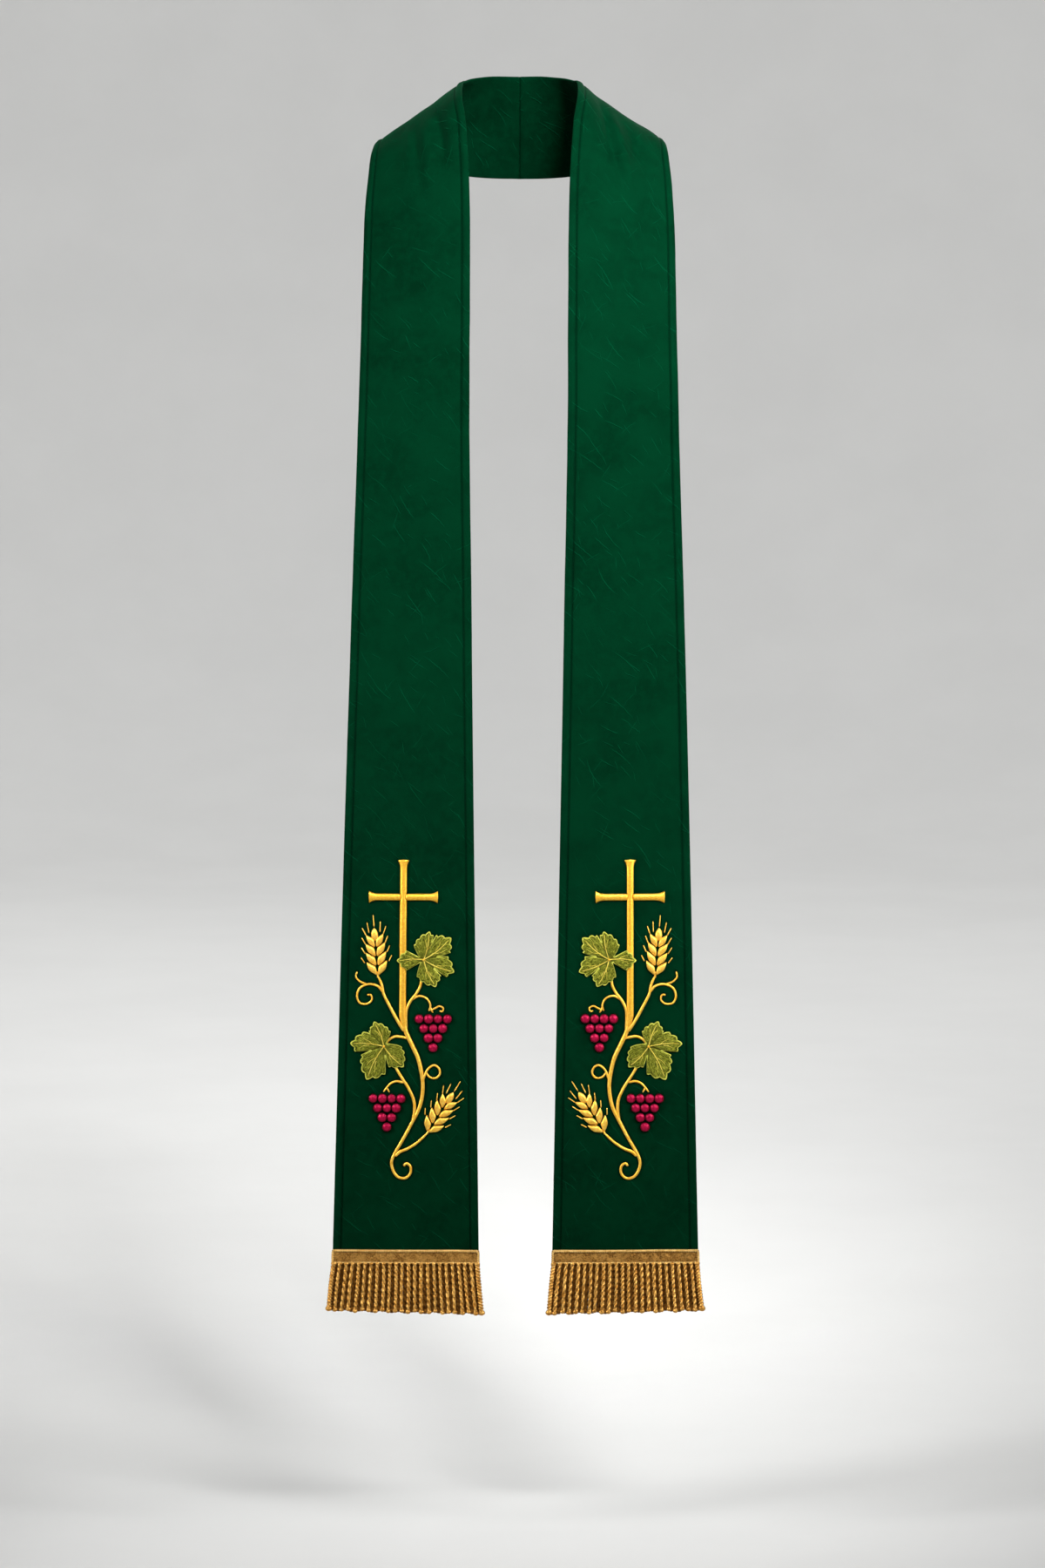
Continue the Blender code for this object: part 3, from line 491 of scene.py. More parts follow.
def hairCreaseLines(tree, uv, shift, cell, halfLength, halfWidth, lean, spread, share):
    # one short bent line in some of the cells of a random pattern
    moved = addNode(
        tree, "ShaderNodeMapping", {"Vector": uv, "Location": (shift, shift * 1.7, 0)}).outputs[0]
    cells = addNode(
        tree, "ShaderNodeTexVoronoi", {"Vector": moved, "Scale": 1 / cell, "Randomness": 0.85}).outputs
    own = addNode(tree, "ShaderNodeSeparateColor", {"Color": cells["Color"]}).outputs
    local = addNode(
        tree, "ShaderNodeVectorMath", {0: moved, 1: cells["Position"]}, operation="SUBTRACT").outputs[0]
    turn = timesPlus(tree, own[0], math.radians(2 * spread), math.radians(lean - spread))
    turned = addNode(
        tree, "ShaderNodeVectorRotate", {"Vector": local, "Angle": turn}, rotation_type="Z_AXIS").outputs[0]
    x, y, _ = splitUp(tree, turned)
    bend = timesPlus(tree, own[1], 22.0, -11.0)
    sag = times(tree, times(tree, y, y), bend)
    wander = timesPlus(tree, noiseAt(tree, uv, 260.0, 2.0), 0.0016, -0.0008)
    off = mathNode(tree, "ADD", mathNode(tree, "ADD", x, sag), wander)
    line = stepRange(tree, mathNode(tree, "ABSOLUTE", off), 0.0, halfWidth, 1.0, 0.0)
    ends = stepRange(tree, mathNode(tree, "ABSOLUTE", y), halfLength * 0.35, halfLength, 1.0, 0.0)
    return times(tree, times(tree, line, ends), mathNode(tree, "LESS_THAN", own[2], share))


def makeClothLook(name):
    look, tree, shader = newLook(name, 0.80, 0.05, (0.03, 0.9, 0.36), 0.0, 0.05, (0.01, 0.60, 0.22))
    where = addNode(tree, "ShaderNodeTexCoord")
    uv, place = where.outputs["UV"], where.outputs["Object"]
    # the two halves take different parts of every pattern
    own = mathNode(tree, "SIGN", splitUp(tree, place)[0])
    acrossUv, alongUv, _ = splitUp(tree, uv)
    uvOwn = addNode(tree, "ShaderNodeCombineXYZ", {
        0: times(tree, acrossUv, own), 1: timesPlus(tree, own, 1.9, alongUv)}).outputs[0]
    patch = noiseAt(tree, place, clothLook["patchScale"], 4.0, 0.6, 0.4)
    mottle = noiseAt(tree, place, clothLook["mottleScale"], 5.0, 0.65)
    nap = noiseAt(tree, place, clothLook["napScale"], 2.0, 0.6)
    tone = mixColours(tree, stepRange(tree, patch, 0.28, 0.72), clothLook["deep"], clothLook["light"])
    tone = mixColours(tree, 0.35, tone, clothLook["mid"])
    tone = mixColours(tree, stepRange(tree, mottle, 0.38, 0.68, 0.0, 0.65), tone, clothLook["light"])
    tone = mixColours(tree, stepRange(tree, nap, 0.25, 0.75, 0.30, 0.0), tone, clothLook["deep"])
    # fine creases, more of them where a wide noise is high, each a bump with a painted highlight in a
    # lighter green
    lines = None
    for k, row in enumerate(hairCreases):
        line = hairCreaseLines(tree, uvOwn, 0.31 * (k + 1), *row)
        lines = line if lines is None else mathNode(tree, "MAXIMUM", lines, line)
    gathered = stepRange(tree, noiseAt(tree, uvOwn, 9.0, 2.0), 0.36, 0.60, 0.25, 1.0)
    lines = times(tree, lines, gathered)
    tone = mixColours(tree, times(tree, lines, clothLook["creaseHighlightTone"]), tone, clothLook["line"])
    # the weave, in metres across and along the cloth
    turns = 2 * math.pi / clothLook["weavePitch"]
    warp = mathNode(tree, "SINE", times(tree, acrossUv, turns))
    weft = mathNode(tree, "SINE", times(tree, alongUv, turns))
    weave = times(tree, times(tree, warp, weft), clothLook["weaveMm"])
    # painted shade: how much darker the cloth is made in the topstitch grooves, along the neck seam and
    # beside the stitches
    paintedShade = addNode(tree, "ShaderNodeAttribute", attribute_name="paintedShade").outputs["Fac"]
    tone = mixColours(tree, paintedShade, tone, tuple(c * clothLook["paintedShadeTone"] for c in clothLook["deep"]))
    height = timesPlus(tree, nap, clothLook["napMm"], weave)
    height = timesPlus(tree, mottle, clothLook["mottleMm"], height)
    height = timesPlus(tree, lines, clothLook["creaseMm"], height)
    finishLook(tree, shader, tone, height)
    tree.links.new(stepRange(tree, mottle, 0.3, 0.7, 0.72, 0.88), shader.inputs["Roughness"])
    return look


def threadTone(tree, where, row, slant, across, along):
    # threads lying side by side: a ridge for each, with its own tone, and painted shade in the gaps between
    # them
    count = timesPlus(tree, across, slant, times(tree, along, 1 / row["pitch"]))
    ridge = times(tree, mathNode(tree, "PINGPONG", count, 0.5), 2.0)
    thread = mathNode(tree, "FLOOR", count)
    own = addNode(tree, "ShaderNodeTexWhiteNoise", {"W": thread}, noise_dimensions="1D").outputs["Value"]
    broad = noiseAt(tree, where.outputs["Object"], row["toneScale"], 3.0, 0.6)
    fibre = noiseAt(tree, where.outputs["Object"], 2400.0, 2.0, 0.6)
    tone = mixColours(tree, stepRange(tree, broad, 0.30, 0.70), row["mid"], row["bright"])
    tone = mixColours(tree, times(tree, own, row["ownTone"]), tone, row["deep"])
    tone = mixColours(tree, stepRange(tree, ridge, 0.0, 0.45, row["gapShade"], 0.0), tone, row["deep"])
    height = times(tree, ridge, row["ridgeMm"])
    height = timesPlus(tree, fibre, row["ridgeMm"] * 0.35, height)
    return tone, timesPlus(tree, broad, row["swellMm"], height)


def makeCordLook(name, row):
    # a stitched cord: UV x runs round its section from one foot over the crown, y along it in metres
    look, tree, shader = newLook(name, row["roughness"], row["gloss"], row["bright"], row["metal"])
    where = addNode(tree, "ShaderNodeTexCoord")
    x, y, _ = splitUp(tree, where.outputs["UV"])
    around = mathNode(tree, "FRACT", x)
    tone, height = threadTone(tree, where, row, row["slant"], around, y)
    # painted shade: the cord is made darker toward its feet and underside, where it meets the cloth
    crown = mathNode(tree, "SINE", times(tree, around, 2 * math.pi))
    foot = stepRange(tree, crown, row["footFrom"], row["footTo"], row["footShade"], 0.0)
    finishLook(tree, shader, mixColours(tree, foot, tone, row["foot"]), height)
    return look


# The foot colour is painted shade where a cord meets the cloth, and the gap share lays painted shade
# between the threads.
cordColumns = ("name", "deep", "mid", "bright", "foot", "pitch", "slant", "roughness", "gloss", "metal",
               "ridgeMm", "swellMm", "toneScale", "ownTone", "gapShade", "footFrom", "footTo", "footShade")
cordLooks = (
    ("gold", (0.56, 0.200, 0.010), (0.84, 0.400, 0.028), (0.98, 0.580, 0.070), (0.38, 0.095, 0.004),
     0.00055, 0.30, 0.36, 0.60, 0.62, 0.030, 0.18, 560.0, 0.14, 0.28, 0.00, 0.42, 0.90),
    ("vine", (0.56, 0.200, 0.012), (0.86, 0.430, 0.036), (1.0, 0.640, 0.105), (0.36, 0.090, 0.004),
     0.00075, 3.0, 0.36, 0.60, 0.60, 0.040, 0.05, 260.0, 0.12, 0.32, 0.00, 0.50, 0.90),
    ("wheat", (0.58, 0.230, 0.016), (0.88, 0.460, 0.045), (1.0, 0.680, 0.130), (0.42, 0.120, 0.005),
     0.00055, 0.60, 0.36, 0.60, 0.58, 0.030, 0.12, 420.0, 0.14, 0.28, 0.00, 0.42, 0.85),
    ("bullion", (0.100, 0.032, 0.004), (0.46, 0.200, 0.030), (0.94, 0.540, 0.140), (0.040, 0.012, 0.0014),
     0.00062, 3.0, 0.33, 0.60, 0.62, 0.070, 0.10, 260.0, 0.38, 0.60, -0.10, 0.62, 0.95),
    # the row behind is the same bullion in darker colours, as painted shade
    ("bullionBehind", (0.035, 0.010, 0.001), (0.120, 0.045, 0.007), (0.26, 0.110, 0.020),
     (0.020, 0.006, 0.001), 0.00062, 3.0, 0.48, 0.35, 0.20, 0.060, 0.10, 240.0, 0.35, 0.55,
     -0.10, 0.75, 0.92),
    ("headingCord", (0.22, 0.090, 0.013), (0.64, 0.36, 0.085), (0.98, 0.70, 0.270), (0.090, 0.028, 0.004),
     0.00050, 2.0, 0.36, 0.55, 0.30, 0.040, 0.05, 300.0, 0.30, 0.45, 0.0, 0.70, 0.85),
    ("leafEdge", (0.16, 0.170, 0.014), (0.40, 0.410, 0.045), (0.62, 0.620, 0.105), (0.060, 0.062, 0.006),
     0.00070, 1.0, 0.44, 0.45, 0.05, 0.040, 0.03, 300.0, 0.25, 0.40, 0.0, 0.75, 0.80),
    ("vein", (0.26, 0.170, 0.012), (0.50, 0.380, 0.040), (0.74, 0.600, 0.110), (0.090, 0.064, 0.006),
     0.00070, 1.0, 0.42, 0.45, 0.10, 0.035, 0.02, 300.0, 0.20, 0.35, 0.0, 0.75, 0.80),
    ("seamThread", (0.0001, 0.006, 0.0022), (0.0002, 0.014, 0.0055), (0.0004, 0.026, 0.011),
     (0.0001, 0.004, 0.001), 0.00060, 1.0, 0.60, 0.12, 0.0, 0.020, 0.01, 300.0, 0.20, 0.35,
     0.0, 0.75, 0.70),
)


def makeGrapeLook(row):
    # satin thread wound from the rim (UV y high) up to the crown (UV y low)
    look, tree, shader = newLook("crimsonSatin", 0.24, 0.60, (1.0, 0.16, 0.34), 0.35)
    where = addNode(tree, "ShaderNodeTexCoord")
    x, y, _ = splitUp(tree, where.outputs["UV"])
    tone, height = threadTone(tree, where, row, 1.0, x, y)
    tone = mixColours(tree, row["depth"], tone, row["rim"])
    # painted shade: the dome darkens all round toward its rim
    rim = stepRange(tree, y, row["rimShadeFrom"], row["rimShadeTo"], 0.0, 0.92)
    finishLook(tree, shader, mixColours(tree, rim, tone, row["rim"]), height)
    return look


def makeLeafLook(row):
    # stitches running out from the hub: UV x runs once round it, y outward in metres
    look, tree, shader = newLook("oliveSatin", 0.50, 0.35, row["bright"])
    where = addNode(tree, "ShaderNodeTexCoord")
    fleck = noiseAt(tree, scaledUv(tree, where, 150.0, 420.0), 1.0, 3.0, 0.65, 0.5)
    thread = noiseAt(tree, scaledUv(tree, where, 330.0, 170.0), 1.0, 2.0, 0.6)
    speck = noiseAt(tree, where.outputs["Object"], 900.0, 3.0, 0.7)
    tone = mixColours(tree, stepRange(tree, fleck, 0.42, 0.64), row["deep"], row["mid"])
    tone = mixColours(tree, stepRange(tree, thread, 0.50, 0.68, 0.0, 0.85), tone, row["bright"])
    tone = mixColours(tree, stepRange(tree, speck, 0.30, 0.48, 0.80, 0.0), tone, row["deep"])
    # painted shade: darker toward the hub, where the lobes meet
    hub = stepRange(tree, splitUp(tree, where.outputs["UV"])[1], 0.001, 0.012, 0.45, 0.0)
    tone = mixColours(tree, hub, tone, row["deep"])
    finishLook(tree, shader, tone, timesPlus(tree, fleck, 0.25, times(tree, thread, 0.30)))
    return look


def makeTapeLook(row):
    # woven tape: UV x is metres up the tape and y metres along it; the slant turns from band to band
    look, tree, shader = newLook("wovenHeading", 0.42, 0.50, row["bright"], 0.30)
    where = addNode(tree, "ShaderNodeTexCoord")
    x, y, _ = splitUp(tree, where.outputs["UV"])
    uneven = timesPlus(tree, noiseAt(tree, where.outputs["Object"], 130.0, 2.0), 0.0024, -0.0012)
    band = mathNode(tree, "PINGPONG", mathNode(tree, "ADD", y, uneven), row["band"])
    count = times(tree, timesPlus(tree, x, 1.1, band), 1 / row["pitch"])
    ridge = times(tree, mathNode(tree, "PINGPONG", count, 0.5), 2.0)
    thread = mathNode(tree, "FLOOR", count)
    own = addNode(tree, "ShaderNodeTexWhiteNoise", {"W": thread}, noise_dimensions="1D").outputs["Value"]
    speck = noiseAt(tree, where.outputs["Object"], 700.0, 3.0, 0.7)
    broad = noiseAt(tree, where.outputs["Object"], 90.0, 2.0)
    # painted shade: the tone is dark in the grooves between the woven ridges and lighter on them
    tone = mixColours(tree, stepRange(tree, ridge, 0.10, 0.85), row["deep"], row["mid"])
    tone = mixColours(tree, times(tree, own, 0.34), tone, row["bright"])
    tone = mixColours(tree, stepRange(tree, speck, 0.36, 0.58, 0.90, 0.0), tone, row["deep"])
    tone = mixColours(tree, stepRange(tree, broad, 0.42, 0.66, 0.0, 0.20), tone, row["bright"])
    finishLook(tree, shader, tone, timesPlus(tree, speck, 0.16, times(tree, ridge, 0.24)))
    return look


looks = {row["name"]: makeCordLook(row["name"], row) for row in namedRows(cordColumns, cordLooks)}
looks["cloth"] = makeClothLook("greenCloth")
looks["grape"] = makeGrapeLook({
    "deep": (0.17, 0.0010, 0.014), "mid": (0.36, 0.0030, 0.034), "bright": (0.54, 0.0110, 0.072),
    "rim": (0.050, 0.0003, 0.004), "rimShadeFrom": 0.0022, "rimShadeTo": 0.0074, "depth": 0.22, "pitch": 0.00052,
    "toneScale": 420.0, "ownTone": 0.30, "gapShade": 0.45, "ridgeMm": 0.045, "swellMm": 0.10,
})
looks["leaf"] = makeLeafLook({
    "deep": (0.020, 0.026, 0.0025), "mid": (0.150, 0.160, 0.0130), "bright": (0.400, 0.400, 0.0500),
})
looks["headingTape"] = makeTapeLook({
    "deep": (0.045, 0.014, 0.0018), "mid": (0.270, 0.112, 0.0175), "bright": (0.720, 0.400, 0.1000),
    "band": 0.0060, "pitch": 0.00150,
})
print("materials made:", len(looks))

# Sizes of the ornaments, whose outlines also press the cloth down beside them and darken it there with
# painted shade.
cross = {
    "top": 0.1630, "bar": 0.1250, "reach": 0.0350, "foot": -0.0125, "footShift": -0.0038, "taper": 0.0190,
    "footWidth": 0.0022, "width": 0.0070, "endWidth": 0.0130, "flare": 0.0095, "height": 0.0027,
    "pinch": 0.32, "pinchSpread": 0.0028, "armStart": 0.0021, "armRound": 0.0028, "armWide": 0.40,
    "armHigh": 0.45, "crossing": 0.10, "crossingSpread": 0.006, "stemCells": 190, "armCells": 64,
    "around": 18, "endRound": 0.0006,
}
leaf = {
    "toothStep": 15, "toothRoom": 8, "notchCut": 3, "mostTeeth": 3, "toothFall": 0.0085, "dipDepth": 0.07,
    "height": 0.0025, "rimHeight": 0.0010, "rimRound": 0.0016, "aroundCells": 300, "outCells": 16,
    "grooveDepth": 0.0014, "grooveWidth": 0.0012, "veinDepth": 0.00035, "veinWidth": 0.0016,
    "bulge": 0.13, "over": 0.0014, "overWidth": 0.0048,
    "cordCells": 420, "cordIn": 0.00045, "cordWide": 0.00066, "cordLift": 0.00034, "cordHigh": 0.00062,
    "mainVein": 0.00068, "sideVein": 0.00036, "hub": 0.0026,
}
grape = {
    "radius": 0.00485, "height": 0.0041, "across": 0.0094, "down": 0.0097, "rows": (4, 3, 2, 1),
    "around": 20, "rings": 10, "dimple": 0.00022, "dimpleWidth": 0.0011,
}
wheat = {
    "pairs": 4, "length": 0.0165, "shortening": 0.0008, "topWidth": 0.0072, "height": 0.0030,
    "pitch": 0.0094, "fullness": 0.70, "reaches": (0.0103, 0.0102, 0.0099, 0.0087), "inside": 0.0005,
    "innerHalf": 0.0046, "outerHalf": 0.0039, "rise": 0.0066, "innerRound": 0.22, "outerRound": 0.34,
    "lean": 40, "leanFall": 3, "offAxis": 0.0010, "firstLevel": 0.0010, "topDrop": 0.0020,
    "awnWidth": 0.00125, "awnGap": 0.0006, "awn": 0.0072, "awnGrowth": 0.0006, "awnLean": 0.76,
    "topAwn": 0.0130, "sideAwn": 0.0117, "sideAwnOut": 0.0055, "sideAwnUp": 0.0062, "sideAwnLean": 6.5,
    "foot": (-0.0020, 0.0050), "around": 16, "cells": 18, "crease": 0.13, "creaseWidth": 0.16,
}


def toothedSide(span):
    side, last = [], 0
    for _ in range(leaf["mostTeeth"]):
        tooth = min(last + leaf["toothStep"], span - leaf["notchCut"])
        if tooth - last < leaf["toothRoom"]:
            break
        dip = (last + tooth) / 2
        side.append((dip, 1 - leaf["toothFall"] * dip - leaf["dipDepth"]))
        side.append((tooth, 1 - leaf["toothFall"] * tooth))
        last = tooth
    return side


def leafLobes(name):
    return [row for row in namedRows(lobeColumns, lobesMm) if row["leaf"] == name]


def leafOutline(name):
    # degrees from the longest lobe and reach in metres, all the way round the hub
    lobes = leafLobes(name)
    polar = []
    for k, lobe in enumerate(lobes):
        tip, reach, notch = lobe["degrees"], lobe["reach"] * mm, lobe["notchDegrees"]
        before = (tip - lobes[k - 1]["notchDegrees"]) % 360
        polar += [(tip - d, reach * share) for d, share in reversed(toothedSide(before))]
        polar.append((tip, reach))
        polar += [(tip + d, reach * share) for d, share in toothedSide(notch - tip)]
        polar.append((notch, lobe["notch"] * mm))
    return polar


def wheatKernels():
    # base x, base y, lean in radians and length of every grain, in the ear's own axes
    grains = []
    for k in range(wheat["pairs"]):
        lean = math.radians(wheat["lean"] - wheat["leanFall"] * k)
        for side in (-1, 1):
            grains.append((side * wheat["offAxis"], wheat["firstLevel"] + wheat["pitch"] * k, side * lean,
                           wheat["length"] - wheat["shortening"] * k))
    top = wheat["pitch"] * wheat["pairs"] - wheat["topDrop"]
    grains.append((0.0, top, 0.0, wheat["length"] - wheat["shortening"] * wheat["pairs"]))
    return grains


def grainRow(k, side, t):
    # centre x, centre y, half height along the ear and thickness share, from the axis out to the tip
    reach = wheat["reaches"][k]
    x = wheat["inside"] + (reach - wheat["inside"]) * t
    half = wheat["innerHalf"] + (wheat["outerHalf"] - wheat["innerHalf"]) * t
    y = wheat["pitch"] * k + 0.0004 + wheat["innerHalf"] + wheat["rise"] * t * reach / wheat["reaches"][0]
    inner, outer = roundedOff(t, wheat["innerRound"]), roundedOff(1 - t, wheat["outerRound"])
    # the inner end closes toward its foot, the outer one toward its upper corner
    y = y - half * (1 - inner) * 0.45 + half * (1 - outer) * 0.95
    return side * x, y, half * inner * outer, (inner * outer) ** 0.8


def topGrainRow(t):
    # the grain at the head of the ear, upright and pointed
    foot = wheat["pitch"] * wheat["pairs"] - wheat["topDrop"]
    tall = wheat["length"] - wheat["shortening"] * wheat["pairs"]
    half = wheat["topWidth"] / 2 * np.sin(math.pi * np.clip(t, 0.0005, 0.9995) ** 0.9) ** wheat["fullness"]
    return foot + tall * t, half, half / half.max()


def wheatAwns():
    # start x, start y, lean and length: one past each grain's tip, and one more each side of the top grain
    awns = []
    for x, y, lean, length in wheatKernels():
        reach = length + wheat["awnGap"]
        own = wheat["topAwn"] if lean == 0 else wheat["awn"] + wheat["awnGrowth"] * (y / wheat["pitch"])
        tipX, tipY = x + math.sin(lean) * reach, y + math.cos(lean) * reach
        awns.append((tipX, tipY, lean * wheat["awnLean"], own))
    level = wheat["pitch"] * wheat["pairs"] + wheat["sideAwnUp"]
    for side in (-1, 1):
        lean = side * math.radians(wheat["sideAwnLean"])
        awns.append((side * wheat["sideAwnOut"], level, lean, wheat["sideAwn"]))
    return awns


def grapeCentres(place):
    centres = []
    for row, count in enumerate(grape["rows"]):
        for k in range(count):
            x, y = (k - (count - 1) / 2) * grape["across"], -row * grape["down"]
            centres.append(turnedInto(place, x, y))
    return centres


def crossStem(y):
    # how far the stem leans inward and how much of its width is left toward the foot
    t = np.clip((cross["foot"] + cross["taper"] - y) / cross["taper"], 0, 1)
    return cross["footShift"] * t**1.5, 1 - (1 - cross["footWidth"] / cross["width"]) * t**1.3


def crossHalfWidth(fromEnd):
    # an arm's half width by the distance from its flared end
    t = np.clip(1 - fromEnd / cross["flare"], 0, 1)
    return cross["width"] / 2 + (cross["endWidth"] - cross["width"]) / 2 * t**2.2


def edgeSamples():
    # points all along the edges of everything that is stitched
    found = []
    for row in namedRows(strokeColumns, strokesMm):
        way, _ = smoothWay(row["points"], 0.0012)
        run = unit(np.gradient(way, axis=0))
        side = np.stack([-run[:, 1], run[:, 0]], axis=1)
        half = np.linspace(row["firstWidth"], row["lastWidth"], len(way))[:, None] * mm / 2
        found += [way + side * half, way - side * half]
    for name in ("upperLeaf", "lowerLeaf"):
        polar = np.array(leafOutline(name))
        angle = np.radians(polar[:, 0] + 90)
        x, y = polar[:, 1] * np.cos(angle), polar[:, 1] * np.sin(angle)
        rim = np.stack([x, y], axis=1)
        for t in (0, 0.33, 0.67):
            spot = rim * (1 - t) + np.roll(rim, -1, axis=0) * t
            found.append(np.stack(turnedInto(name, spot[:, 0], spot[:, 1]), axis=1))
    ring = np.linspace(0, 2 * math.pi, 20, endpoint=False)
    for name in ("upperGrapes", "lowerGrapes"):
        for x, y in grapeCentres(name):
            rim = [x + np.cos(ring) * grape["radius"], y + np.sin(ring) * grape["radius"]]
            found.append(np.stack(rim, axis=1))
    for name in ("upperWheat", "lowerWheat"):
        t = np.linspace(0, 1, 12)
        for edge in (-1, 1):
            for side in (-1, 1):
                for k in range(wheat["pairs"]):
                    x, y, half, _ = grainRow(k, side, t)
                    found.append(np.stack(turnedInto(name, x, y + edge * half), axis=1))
            y, half, _ = topGrainRow(t)
            found.append(np.stack(turnedInto(name, edge * half, y), axis=1))
        for x, y, lean, length in wheatAwns():
            run = length * np.linspace(0, 1, 8)
            spots = turnedInto(name, x + math.sin(lean) * run, y + math.cos(lean) * run)
            found.append(np.stack(spots, axis=1))
    stem = np.arange(cross["foot"], cross["top"], 0.0012)
    arm = np.arange(cross["armStart"], cross["reach"], 0.0012)
    shift, share = crossStem(stem)
    for side in (-1, 1):
        half = crossHalfWidth(cross["top"] - stem)
        found.append(np.stack([shift + side * half * share, stem], axis=1))
        half = crossHalfWidth(cross["reach"] - arm)
        for edge in (-1, 1):
            found.append(np.stack([side * arm, cross["bar"] + edge * half], axis=1))
    return np.vstack(found)


samples = edgeSamples()
nearStitch = KDTree(len(samples))
for k, spot in enumerate(samples):
    nearStitch.insert((spot[0], spot[1], 0), k)
nearStitch.balance()
print("stitched edges sampled:", len(samples))

panel = {
    "edgeZone": 0.0110, "edgeCells": 13, "middleCells": 56, "rollCells": 4, "backCells": 18,
    "rowSteps": ((0.0, 0.0072, 0.0009), (0.0072, 0.330, 0.0022), (0.330, 0.975, 0.0032),
                 (0.975, 1.338, 0.0016), (1.338, 1.402, 0.0024)),
    "stitchIn": 0.0072, "grooveDepth": 0.00085, "grooveWidth": 0.0009, "grooveShade": 0.80,
    "borderPuff": 0.00085, "borderMiddle": 0.0035, "borderWidth": 0.0024,
    "seamShade": 0.70, "seamShadeWidth": 0.0007, "pressShade": 0.80, "pressReach": 0.18,
    "seamDepth": 0.0007, "seamWidth": 0.0016, "seamGap": -0.00004,
    "pressDepth": 0.00045, "pressWidth": 0.0013,
    "flat": (0.1465, 1.402), "area": 0.1735,
}


def panelRows():
    rows = [0.0]
    for start, end, step in panel["rowSteps"]:
        end = min(end, shapeLength)
        count = round((end - start) / step)
        rows += [start + (end - start) * (k + 1) / count for k in range(count)]
    rows[-1] = shapeLength
    return np.array(rows)


def panelColumns():
    # each column: which layer, its distance in from an edge or share between the edge zones, and height
    columns = []
    wall = cloth["wall"] / 2
    edge = [panel["edgeZone"] * k / panel["edgeCells"] for k in range(panel["edgeCells"])]
    columns += [("inner", d, wall) for d in edge]
    columns += [("middle", k / panel["middleCells"], wall) for k in range(panel["middleCells"] + 1)]
    columns += [("outer", d, wall) for d in reversed(edge)]
    for k in range(1, panel["rollCells"]):
        angle = math.pi * k / panel["rollCells"]
        columns.append(("outer", -wall * math.sin(angle), wall * math.cos(angle)))
    columns += [("back", 1 - k / panel["backCells"], -wall) for k in range(panel["backCells"] + 1)]
    for k in range(1, panel["rollCells"] + 1):
        angle = math.pi * (1 - k / panel["rollCells"])
        columns.append(("inner", -wall * math.sin(angle), wall * math.cos(angle)))
    return columns


def buildPanel(sideName, half):
    rows, columns = panelRows(), panelColumns()
    widths = widthAt(rows)
    kind = np.array([c[0] for c in columns])
    amount = np.array([c[1] for c in columns])
    level = np.array([c[2] for c in columns])
    bm = bmesh.new()
    # a layer holding how much painted shade each point gets
    paintedShade = bm.verts.layers.float.new("paintedShade")
    stored = {}

    def place(ix, iy):
        along, width = rows[iy], widths[iy]
        zone = panel["edgeZone"] / width
        a = amount[ix]
        across = np.where(kind[ix] == "inner", a / width, 0.0)
        across = np.where(kind[ix] == "outer", 1 - a / width, across)
        across = np.where(kind[ix] == "middle", zone + a * (1 - 2 * zone), across)
        across = np.where(kind[ix] == "back", a, across)
        height = level[ix].copy()
        onFace = (level[ix] > 0) & (kind[ix] != "back")
        inFromEdge = np.minimum(across, 1 - across) * width
        groove = np.exp(-(((inFromEdge - panel["stitchIn"]) / panel["grooveWidth"]) ** 2))
        border = np.exp(-(((inFromEdge - panel["borderMiddle"]) / panel["borderWidth"]) ** 2))
        height = height - np.where(onFace, groove * panel["grooveDepth"], 0)
        height = height + np.where(onFace, border * panel["borderPuff"], 0)
        # painted shade: the cloth is made darker in the topstitch groove, along the neck seam and beside
        # the stitched edges, kept as a darkening share on each point
        shade = np.where(onFace, panel["grooveShade"] * groove, 0)
        seamDip = np.exp(-((along / panel["seamWidth"]) ** 2))
        height = height - np.sign(level[ix]) * panel["seamDepth"] * seamDip
        seamLine = np.exp(-((along / panel["seamShadeWidth"]) ** 2))
        shade = np.maximum(shade, panel["seamShade"] * seamLine)
        x = (across - 0.5) * width - plan["footToOuterSide"]
        y = shapeLength - plan["footAboveHem"] - along
        close = onFace & (np.abs(y) < panel["pressReach"])
        for k in np.nonzero(close)[0]:
            gap = nearStitch.find((x[k], y[k], 0))[2]
            beside = math.exp(-((gap / panel["pressWidth"]) ** 2))
            height[k] -= panel["pressDepth"] * beside
            shade[k] = max(shade[k], panel["pressShade"] * beside)
        stored["shade"] = shade
        points = clothPoints(half, along, across, height)
        points[iy == 0, 0] = half * panel["seamGap"]
        stored["across"] = across * width
        stored["along"] = along
        return points

    verts = rolledGrid(bm, len(columns) - 1, len(rows) - 1, place)
    for vert, shade in zip(verts, stored["shade"]):
        vert[paintedShade] = shade
    uv = bm.loops.layers.uv.verify()
    spot = {v: (a, b) for v, a, b in zip(verts, stored["across"], stored["along"])}
    for face in bm.faces:
        for loop in face.loops:
            loop[uv].uv = spot[loop.vert]
    piece = finishPiece(f"cloth_{sideName}", bm, looks["cloth"], 0.00001)
    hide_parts(f"half_{sideName}")
    return piece


seam = {
    "pitch": 0.0030, "length": 0.0023, "radius": 0.00024, "sides": 5, "cells": 3,
    "start": 0.004, "end": 0.012, "uneven": 0.0001, "rise": 0.00012,
}


